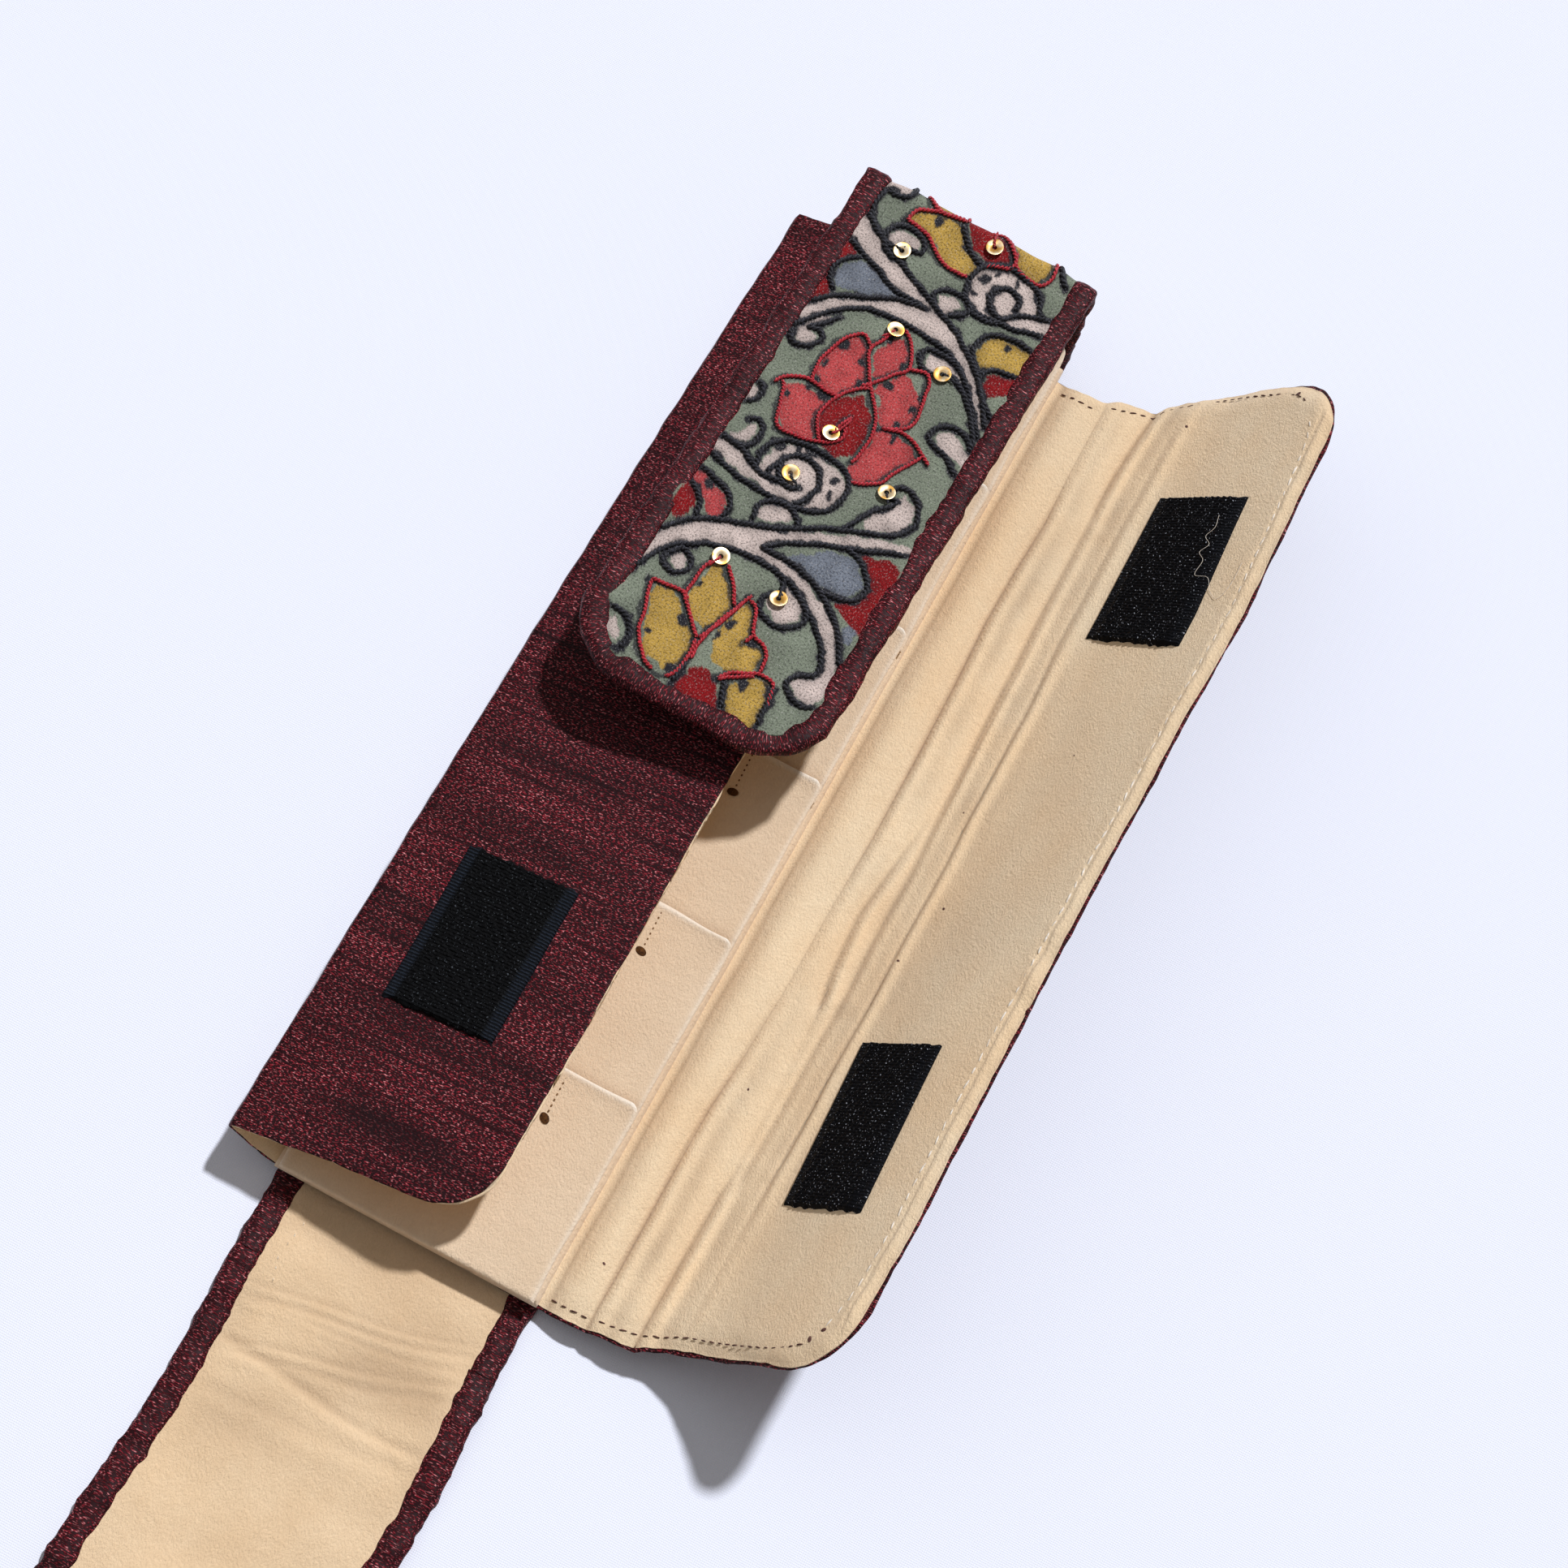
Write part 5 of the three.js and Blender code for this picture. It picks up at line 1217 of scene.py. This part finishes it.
def panel_face(across, along):
    """The panel's outer face over its middle layer: it swells softly, more away from the binding, and is
    flat under the case."""
    swell = 0.19 + 0.18 * waves(221, 9, across, along) + 0.35 * eased(25.5, 21, np.abs(across))
    return 0.36 + swell * eased(-26, -16, along)


top_bend = ("strap_top_riser", "strap_top_flap", (0, 0.138, 0.019), (0, 0.130, 0.028))
riser_bend = ("base", "strap_top_riser", (0, 0.126, 0.0004), (0, 0.1345, 0.005))
tail_bend = ("strap_tail_riser", "strap_tail_flap", (0, -0.158, 0.0004), (0, -0.1665, 0.0004))
tail_riser_bend = ("base", "strap_tail_riser", (0, -0.130, 0.0004), (0, -0.1385, 0.0004))
strap_stretches = (
    ("strap_top", on_strap_top, riser_middle, top_length, True, top_bend),
    ("strap_middle_upper", on_strap_top, riser_middle, -top_run, False, riser_bend),
    ("strap_middle_lower", on_strap_tail, tail_riser_middle, 0.0, False, tail_riser_bend),
    ("strap_tail", on_strap_tail, tail_riser_middle, tail_length, True, tail_bend))


def stretch_nodes(stretch, ending):
    """The nodes that a layer of a stretch stands for: the middle's, or the riser's and the flap's."""
    if "middle" in stretch:
        return ["strap_middle_" + ending]
    return [f"{stretch}_riser_{ending}", f"{stretch}_flap_{ending}"]


def panel_stretch(stretch, place, start, tip, rounded, bend, step):
    """One stretch of the painted panel, its colours worked out at each point and kept as the attribute
    paint. The pattern goes on from the upper part to the lower one, where along counts the other way."""
    upper = place is on_strap_top
    faces = (panel_face if upper else lambda x, y: 0.36 + 0 * x, lambda x, y: -0.3 + 0 * x)
    piece, across, along = strap_layer(stretch + "_panel", place, start, tip, rounded, faces,
                                       (step, step), felt)
    colours = paint(across, along if upper else -along - top_run)
    attribute = piece.data.color_attributes.new("paint", "FLOAT_COLOR", "POINT")
    attribute.data.foreach_set("color", np.concatenate([colours, colours]).astype(np.float32).ravel())
    bends(piece, stretch_nodes(stretch, "panel"))


for stretch, step in zip(strap_stretches, (0.42, 0.8, 0.8, 0.6)):
    panel_stretch(*stretch, step)


# The strap is lined with golden beige cotton. On the tail it faces up, softly wrinkled where it has
# been folded over the pouch, and with a few pale pricks where its stitches were.
strap_cotton = brushed_cotton("strap_lining_cotton", written(247, 214, 171), written(251, 222, 182),
                              written(202, 162, 114))
wrinkles = [(149, 0.23, 0.16, 0.6), (151.5, 0.24, 0.2, 0.7), (154, 0.18, 0.12, 0.6), (160, 0.3, 0.2, 0.7),
            (163, 0.27, 0.16, 0.9), (168, -0.05, 0.3, 1.2), (175, 0.1, 0.16, 1.6)]


def lining_face(across, along):
    """The strap's lining, away from the panel: it bulges softly, has slanting wrinkles, each a groove along
    a line with a low ridge beside it, where the tail is folded over the case, and is drawn in under the
    binding."""
    soft = 0.24 * waves(231, 26, across, along, 24, 0.5)
    for middle, slant, deep, wide in wrinkles:
        gap = along - slant * across - middle + 0.8 * waves(233, 22, across, 0 * along, 8)
        soft = soft - deep * hill(gap, wide) + 0.7 * deep * hill(gap - 2 * wide, 1.4 * wide)
    return -1.5 - soft * eased(27, 20, np.abs(across))


def lining_stretch(stretch, place, start, tip, rounded, bend):
    """One stretch of the strap's lining, a little browner in its wrinkles, where painted shade lies in the
    grooves.
    """
    piece, across, along = strap_layer(stretch + "_lining", place, start, tip, rounded,
                                       (lambda x, y: -0.7 + 0 * x, lining_face), (1.2, 0.5), strap_cotton)
    # Painted shade in the grooves of the wrinkles, fading out between 172 and 195 mm along the strap.
    shade = np.clip(0.1 + 0.5 * (lining_face(across, along) + 1.5), 0, 0.3)
    keep(piece, "crease", shade * eased(195, 172, along))
    bends(piece, stretch_nodes(stretch, "lining"))


for stretch in strap_stretches:
    lining_stretch(*stretch)
pale_prick = mottled("pale_pricks", 2500.0, 0.3, 0.7, written(196, 164, 124), written(246, 230, 204), 0.9,
                     0.1)
pricks = [(x, y, 0.2, 0.45, 0.2, 0.12)
          for x, y in ((20.5, 138), (20.9, 141), (21.2, 143.4), (21.5, 147), (20.9, 149), (20.2, 151.5))]
tail_pricks = small_marks("tail_pricks", lambda x, y, level: on_strap_tail(x, y, lining_face(x, y) - level),
                          pricks, 8, pale_prick)
bends(tail_pricks)


# A strip of the dark red silk is folded round the strap's edge and sewn through, as a lumpy rounded
# binding 6 mm wide on both faces, carried round the two rounded corners of each end.
binding_silk, tree, shader, place, colour, threads = silk_weave(
    "binding_silk", written(12, 1, 3), written(42, 5, 10), written(150, 38, 50), written(236, 148, 150), 12)
tree.links.new(colour, shader.inputs["Base Color"])
raised(tree, shader, threads, 0.00018)


def binding_stretch(stretch, place, start, tip, rounded, bend, seed):
    """A binding along both edges of a stretch of the strap, and round its tip where that is rounded: a
    closed oval section 6 mm wide carried along a line 3 mm inside the edge, its height and width
    uneven by soft waves."""
    inner = strap_half - binding_width / 2
    sign = 1.0 if tip > start else -1.0
    steps = np.linspace(start, tip - sign * strap_corner * rounded, int(abs(tip - start) / 1.3))
    left = np.stack([np.full(len(steps), -inner), steps], -1)
    lines = [left, left * [-1, 1]]
    if rounded:
        turn = np.linspace(0, math.pi / 2, 18)[1:]
        radius = strap_corner - binding_width / 2
        first = np.stack([-inner + radius * (1 - np.cos(turn)),
                          tip - strap_corner + radius * np.sin(turn)], -1)
        flat = np.linspace(-inner + radius, inner - radius, 22)[1:-1]
        level = np.stack([flat, np.full(len(flat), tip - binding_width / 2)], -1)
        lines = [np.concatenate([left, first, level, first[::-1] * [-1, 1], left[::-1] * [-1, 1]])]
    for number, line in enumerate(lines):
        run = run_along(line)
        along = np.gradient(line, axis=0)
        along /= np.linalg.norm(along, axis=1, keepdims=True)
        aside = np.stack([along[:, 1], -along[:, 0]], -1)
        angle = np.linspace(0, 2 * math.pi, 29)[:-1]
        wide = binding_width / 2 + 0.12 + 0.16 * waves(seed + number, 6, run, 0 * run, 10)
        wide = wide + 0.1 * waves(seed + 7, 2.2, run, 0 * run, 10)
        tall = 1.75 + 0.14 * waves(seed + 3, 5, run, 0 * run, 10)
        share_a = np.sign(np.cos(angle)) * np.abs(np.cos(angle)) ** 0.8
        share_b = np.sign(np.sin(angle)) * np.abs(np.sin(angle)) ** 0.62
        lump = 1 + 0.05 * waves(seed + 5, 2.6, run[:, None] + 0 * angle, 4.0 * angle + 0 * run[:, None], 16)
        off = wide[:, None] * share_a * lump
        high = tall[:, None] * share_b * lump - 0.62
        point = line[:, None, :] + aside[:, None, :] * off[..., None]
        body = place(point[..., 0], point[..., 1], high)
        rows, columns = body.shape[:2]
        half = columns // 2
        points, faces = [body.reshape(-1, 3)], [tube_faces(rows, columns)]
        for row in (0, rows - 1):
            ring = sum(len(p) for p in points) + np.arange(columns)
            points.append(body[row])
            back = ring[::-1]
            cap = np.stack([ring[:half - 1], ring[1:half], back[1:half], back[:half - 1]], -1)
            faces.append(cap if row == 0 else cap[:, ::-1])
        around = np.broadcast_to(np.abs(angle - math.pi) * 2.6, (rows, columns))
        flat = np.stack([around, np.broadcast_to(run[:, None], (rows, columns))], -1).reshape(-1, 2)
        flat = np.concatenate([flat, flat[:columns], flat[-columns:]])
        side = ("left", "right")[number]
        name, nodes = f"{stretch}_binding_{side}", [f"strap_middle_binding_{side}"]
        if rounded:
            name = stretch + "_binding"
            nodes = [f"{stretch}_{part}_binding{ending}"
                     for part, ending in (("riser", "_left"), ("riser", "_right"), ("flap", ""))]
        bends(new_piece(name, np.concatenate(points), np.concatenate(faces), binding_silk, flat), nodes)


for number, stretch in enumerate(strap_stretches):
    binding_stretch(*stretch, 240 + 10 * number)


# The pattern's lines are sewn over with thread: a black one about 1.2 mm thick along the vine and curls,
# and a finer bright red one round the flowers. Both are laid on the felt and caught down from behind.
black_thread = mottled("black_thread", 2200.0, 0.45, 0.7, written(17, 17, 22), written(66, 66, 76), 0.55,
                       0.35, 0.15)
red_thread = mottled("red_thread", 1900.0, 0.4, 0.68, written(150, 8, 24), written(214, 52, 66), 0.42, 0.4,
                     0.2)


def twisted(path, thick, pitch, height):
    """Two strands wound round a line on the strap: each strand's middle goes round it at a quarter of the
    thread's thickness, one turn a pitch, and its round section is five points, drawn in at both ends.
    height gives the place of the line over the strap's middle layer. Returns points and faces."""
    run = run_along(path)
    ahead = np.gradient(path, axis=0)
    ahead /= np.maximum(np.linalg.norm(ahead, axis=1, keepdims=True), 1e-6)
    aside = np.stack([-ahead[:, 1], ahead[:, 0]], -1)
    ring = np.linspace(0, 2 * math.pi, 6)[:-1]
    ends = np.sqrt(np.clip(np.minimum(run, run[-1] - run) / 0.5, 0.004, 1))[:, None]
    points, faces = [], []
    for strand in (0.0, math.pi):
        turn = run[:, None] * 2 * math.pi / pitch + strand
        off = thick * 0.24 * np.cos(turn) + thick * 0.3 * np.cos(ring) * ends
        up = height[:, None] + thick * 0.24 * np.sin(turn) + thick * 0.3 * np.sin(ring) * ends
        flat = path[:, None, :] + aside[:, None, :] * off[..., None]
        faces.append(tube_faces(*off.shape, len(points) * off.size))
        points.append(on_strap_top(flat[..., 0], flat[..., 1], up).reshape(-1, 3))
    return np.concatenate(points), np.concatenate(faces)


def laid_threads(name, lines, thick, pitch, lift, material):
    """Threads along lines of the pattern, wherever they come on the strap's upper part, as one piece."""
    points, faces, count = [], [], 0
    for number, line in enumerate(lines):
        for lap in (0.0, pattern_length):
            path = smooth_line(line, 0.34) - [0.0, lap]
            strays = [waves(seed + number, 3.5, *path.T, 8) for seed in (301, 351)]
            path = path + 0.1 * np.stack(strays, -1)
            low, high = (pattern_start, top_length) if lap == 0 else (riser_middle + 1, pattern_start)
            seen = (np.abs(path[:, 0]) < 25.2) & (path[:, 1] > low) & (path[:, 1] < high)
            seen &= path[:, 1] < strap_ends(path[:, 0], top_length, 5.8)
            for run in np.split(np.arange(len(path)), np.flatnonzero(np.diff(seen.astype(int))) + 1):
                if seen[run[0]] and len(run) > 5:
                    height = panel_face(*path[run].T) + lift
                    more, quads = twisted(path[run], thick, pitch, height)
                    points.append(more)
                    faces.append(quads + count)
                    count += len(more)
    bends(new_piece(name, np.concatenate(points), np.concatenate(faces), material))


sequins = [(4.9, 3.75), (-13.25, 15.4), (-4.4, 35.4), (10.3, 40.3), (-4.2, 68), (-7, 82.3), (13.8, 74.8),
           (-10, 109.5), (5.9, 111.8)]
red_ties = [[(4.9, 3.75), (4.0, 2.2), (3.4, 0.4)], [(-4.4, 35.4), (-5.2, 37.2), (-6.4, 38.8)],
            [(-4.2, 68), (-3.0, 66.4), (-2.2, 64.4), (-1.8, 62.6)],
            [(-10, 109.5), (-10.6, 111.4), (-11.2, 113)]]
black_ties = [[(-13.25, 15.4), (-15, 15.2), (-16.6, 15.8)], [(10.3, 40.3), (12, 40.2), (13.8, 40.8)],
              [(-7, 82.3), (-5.8, 83.6), (-4.2, 84.4)], [(13.8, 74.8), (14.6, 76.2), (15.6, 77.4)],
              [(5.9, 111.8), (5.6, 110.2), (5.2, 108.4)]]
laid_threads("vine_threads", black_lines, 1.28, 2.4, 0.32, black_thread)
laid_threads("flower_threads", red_lines, 1.0, 1.9, 0.42, red_thread)
laid_threads("black_sequin_ties", black_ties, 0.7, 1.5, 0.95, black_thread)
laid_threads("red_sequin_ties", red_ties, 0.7, 1.5, 0.95, red_thread)


# Small gilt sequins lie on the pattern, cupped discs 4.2 mm across with a hole in the middle. Each is
# held by a thread from its hole to its edge.
gilt = mottled("gilt_sequin", 420.0, 0.42, 0.62, written(226, 172, 84), written(246, 228, 190), 0.4, 0.5,
               0.0, 0.5, 0.7)
points, faces = [], []
turn = np.linspace(0, 2 * math.pi, 25)[:-1]
section = [(0.55, -0.02), (0.6, 0.1), (1.3, 0.06), (2.0, 0.36), (2.12, 0.3), (1.35, -0.06)]
for number, (x, y) in enumerate(sequins):
    tilt_a, tilt_b = 0.10 * math.sin(2.3 * number + 1), 0.10 * math.cos(3.1 * number)
    for radius, level in section:
        a, b = radius * np.cos(turn), radius * np.sin(turn)
        points.append(on_strap_top(x + a, y + b, panel_face(x, y) + 0.75 + level + tilt_a * a + tilt_b * b))
    size = len(section) * len(turn)
    grid = np.arange(number * size, (number + 1) * size).reshape(len(section), len(turn))
    grid = np.concatenate([grid, grid[:1]])
    grid = np.concatenate([grid, grid[:, :1]], 1)
    faces.append(np.stack([grid[:-1, :-1], grid[1:, :-1], grid[1:, 1:], grid[:-1, 1:]], -1).reshape(-1, 4))
bends(new_piece("sequins", np.concatenate(points), np.concatenate(faces), gilt))


# Six pieces of 25 mm black nylon fastening tape, cut to 40 mm and sewn on: the soft loop side on the left
# flap and the tail, and the stiff hook side on the right flap and under the strap's top end. The two long
# edges are woven with a bluish rib.
tape_half_width, tape_half_length = 12.7, 20


def tape_black(name, dark, glint, share, fine, ribbed):
    """Black nylon: small bright glints over near-black, and a ribbed bluish band along each long edge,
    as clear as ribbed says."""
    material, tree, shader = new_finish(name, 0.7, 0.12)
    place = node(tree, "ShaderNodeUVMap", {}, uv_map="UVMap").outputs[0]
    spots = ramp(tree, noise(tree, place, fine, 1.0, 0.4, (1.0, 0.8, 1.0)),
                 [(share, grey(0)), (share + 0.07, grey(1))])
    body = blended(tree, spots, dark, glint)
    apart = node(tree, "ShaderNodeSeparateXYZ", {0: place})
    edge = ramp(tree, sums(tree, "MULTIPLY", sums(tree, "ABSOLUTE", apart.outputs[0], 0.0), 70.0),
                [(0.68, grey(0)), (0.74, grey(1))])
    rib = node(tree, "ShaderNodeTexWave", {"Vector": place, "Scale": 400.0, "Distortion": 1.0},
               bands_direction="Y").outputs[1]
    rib = sums(tree, "MULTIPLY", rib, ramp(tree, noise(tree, place, 1500.0, 2.0),
                                           [(0.3, grey(0.2)), (0.6, grey(1))]))
    woven = blended(tree, rib, written(5, 6, 10), written(46, 54, 66))
    tree.links.new(blended(tree, sums(tree, "MULTIPLY", edge, ribbed), body, woven),
                   shader.inputs["Base Color"])
    raised(tree, shader, sums(tree, "ADD", spots, rib), 0.0003)
    return material


loop_black = tape_black("loop_tape", written(3, 3, 4), written(70, 74, 78), 0.64, 2300.0, 0.75)
hook_black = tape_black("hook_tape", written(5, 5, 8), written(200, 204, 212), 0.67, 2600.0, 0.15)


def tape_patch(name, node_name, face, corners, hooks, body, seed):
    """One piece of tape between four corners on a face, a function of two places and a height. The top is
    uneven by fine waves, a dense pile on the loop side and rows of small hooks on the hook side, and
    the cut ends fray a little."""
    share_a, share_b = np.linspace(-1, 1, 56), np.linspace(-1, 1, 88)
    a, b = np.meshgrid(share_a, share_b, indexing="ij")
    low_left, low_right, high_left, high_right = (np.array(c, float) for c in corners)
    left = low_left + (high_left - low_left) * (b[..., None] + 1) / 2
    right = low_right + (high_right - low_right) * (b[..., None] + 1) / 2
    spot = left + (right - left) * (a[..., None] + 1) / 2
    spot[..., 1] += 0.25 * waves(seed, 2.0, spot[..., 0], 0 * a, 10) * (np.abs(b) > 0.995)
    edge = np.minimum((1 - np.abs(a)) * tape_half_width, (1 - np.abs(b)) * tape_half_length)
    woven = eased(2.4, 3.2, (1 - np.abs(a)) * tape_half_width)
    if hooks:
        pile = 0.26 * np.sin(spot[..., 0] * 2 * math.pi / 1.7 + spot[..., 1] * 1.3)
        pile = pile * np.sin(spot[..., 1] * 2 * math.pi / 1.9)
    else:
        pile = 0.2 * waves(seed + 1, 0.9, spot[..., 0], spot[..., 1], 30)
    top = 0.75 + 0.3 * woven + (0.1 + pile) * woven
    top = 0.12 + (top - 0.12) * np.sqrt(1 - (1 - np.clip(edge / 0.5, 0, 1)) ** 2)
    flat = np.stack([a * tape_half_width, b * tape_half_length], -1)
    outer, inner = face(*np.moveaxis(spot, -1, 0), top), face(*np.moveaxis(spot, -1, 0), 0 * a - 0.05)
    patch = sewn_layer(name, outer, inner, flat, hook_black if hooks else loop_black)
    rides(patch, body, [node_name])


def on_left_flap(across, along, height):
    """Points over the left flap's silk: across from its fold, along the case and up from the cloth."""
    run = left_fold_run + np.asarray(across) + 0 * along
    return on_case(left_half, run, along + 0 * run, 0.37 + left_rise(run, along) + height)


def on_spine(across, along, height):
    """Points over the lining of the spine and right flap: across from the base's edge, along it and up."""
    run = spine_start + np.asarray(across) + 0 * along
    edge = np.minimum(along - right_low(run), right_high(run) - along)
    edge = np.minimum(edge, right_length - run) - 0.45
    face = sewn_down(right_offset(run), edge) - 0.3 * hill(edge - hem_inset + 0.45, 0.55)
    return on_case(right_half, run, along + 0 * run, face + flap_relief(run, along) + height)


tape_patch("loop_tape_lower", "loop_patch_lower", on_left_flap,
           [(15.1, -90.3), (41.8, -89.9), (14.8, -51.0), (41.9, -51.2)], False, "left_flap", 401)
tape_patch("loop_tape_upper", "loop_patch_upper", on_left_flap,
           [(14.4, 63), (39.8, 63), (14.4, 103), (39.8, 103)], False, "left_flap", 411)
tape_patch("hook_tape_lower", "hook_patch_lower", on_spine,
           [(38.2, -89.3), (61.8, -88.3), (36.4, -48.5), (60.2, -47.3)], True, "right_flap", 421)
tape_patch("hook_tape_upper", "hook_patch_upper", on_spine,
           [(37.3, 62.8), (65.0, 60.5), (37.5, 104.3), (63.8, 103.2)], True, "right_flap", 431)
tape_patch("hook_tape_strap", "hook_patch_strap", lambda x, y, h: on_strap_top(x, y, lining_face(x, y) - h),
           [(-20, 113.1), (-20, 138.5), (20, 113.1), (20, 138.5)], True, "strap_top_flap", 441)
tape_patch("loop_tape_tail", "loop_patch_strap", lambda x, y, h: on_strap_tail(x, y, 0.36 + h),
           [(-20, 272.8), (-20, 298.2), (20, 272.8), (20, 298.2)], False, "strap_tail_flap", 451)


# The case is sewn round its edge: dark stitches across both ends of the spine and flap, and white ones
# up the flap's free edge. Dark specks lie on the lining, and a loose white thread on the upper tape.
dark_stitch = mottled("dark_stitches", 1500.0, 0.3, 0.7, written(60, 34, 32), written(118, 82, 72), 0.7, 0.2)
white_stitch = mottled("white_stitches", 1500.0, 0.3, 0.7, written(210, 194, 172), written(246, 238, 224),
                       0.7, 0.2)


def stitch_row(name, line, pitch, long, wide, material):
    """A row of stitches over the lining, each a low mound long by wide that lies along the row, with its
    neighbours pitch away, a little uneven in length and turn."""
    path = smooth_line(line, 0.5)
    run = run_along(path)
    marks = []
    for number, where in enumerate(np.arange(0.8, run[-1] - 0.6, pitch)):
        x, y = np.interp(where, run, path[:, 0]), np.interp(where, run, path[:, 1])
        x_on, y_on = np.interp(where + 0.8, run, path[:, 0]), np.interp(where + 0.8, run, path[:, 1])
        turn = math.atan2(y_on - y, x_on - x) + 0.16 * math.sin(7.3 * number)
        marks.append((x, y, long / 2 * (1 + 0.2 * math.sin(4.1 * number)), wide / 2, turn, 0.2))
    bends(small_marks(name, lambda x, y, level: on_spine(x, y, level - 0.06), marks, 10, material))


for name, bend, line in (("spine_lower_stitches", spine_bend, [(0.8, -127.6), (5, -127.9), (10.4, -127.8)]),
                         ("spine_upper_stitches", spine_bend,
                          [(1, 124.2), (5, 123.9), (9, 123.6), (11.4, 124.2)]),
                         ("flap_lower_stitches", flap_bend, [(12, -127.4), (19, -126.6), (25, -124.8),
                                                             (31, -123.1), (40, -122.2), (50, -121.6),
                                                             (60, -120.4), (66, -118.6)]),
                         ("flap_upper_stitches", flap_bend, [(13.5, 125.4), (18, 126.2), (23, 127.6),
                                                             (25, 129), (28, 131.4), (34, 133.6),
                                                             (40, 134.6), (50, 134.8), (60, 134.3),
                                                             (65, 133), (68, 131)])):
    stitch_row(name, line, 2.4, 1.5, 0.36, dark_stitch)
flap_edge = [(69.3, -114), (71.8, -106), (72.4, -95), (72.6, -60), (73, -30), (73.4, 0), (73.6, 40),
             (73.8, 70), (73.6, 100), (72.8, 118), (70.6, 128)]
stitch_row("flap_edge_stitches", flap_edge, 3.4, 2.3, 0.38, white_stitch)
specks = [(x, y, size, size * 0.7, 3.0 * x, 0.08) for x, y,
          size in ((7.2, -116, 0.4), (16.3, -67.7, 0.35), (32.5, -64.5, 0.35), (34.3, 125.8, 0.5),
                   (38.5, -13, 0.45), (34.5, -28, 0.4), (66.7, -117.5, 0.8), (69.2, -115, 0.8),
                   (64, 134, 0.7), (30, 12, 0.25), (52, 30, 0.25))]
bends(small_marks("lining_specks", on_spine, specks, 8, dark_stitch))


def loose_thread(name, line, thick, material, body):
    """A loose end of thread lying on the right flap: a thin round tube along points (across, along,
    height)."""
    p = smooth_line(line, 0.5)
    ahead = np.gradient(p, axis=0)
    ahead /= np.linalg.norm(ahead, axis=1, keepdims=True)
    aside = np.stack([-ahead[:, 1], ahead[:, 0]], -1)
    aside = aside / np.maximum(np.linalg.norm(ahead[:, :2], axis=1), 0.2)[:, None]
    ring = np.linspace(0, 2 * math.pi, 7)[:-1]
    off, up = thick / 2 * np.cos(ring), thick / 2 * np.sin(ring)
    body_points = on_spine(p[:, :1] + aside[:, :1] * off, p[:, 1:2] + aside[:, 1:] * off, p[:, 2:] + up)
    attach(new_piece(name, body_points.reshape(-1, 3), tube_faces(len(p), 6), material), body)


loose_end = [(59.5, 97, 1.6), (60, 93.5, 1.55), (58.6, 91, 1.6), (60.6, 88.6, 1.5), (59, 86.4, 1.6),
             (61, 84, 1.5), (60.6, 80, 1.5), (64, 79.6, 0.9), (66, 76, 0.3), (69, 74, 0.25), (71, 78, 0.3),
             (71.4, 84, 0.35)]
loose_thread("loose_white_thread", loose_end, 0.1, white_stitch, "right_flap")
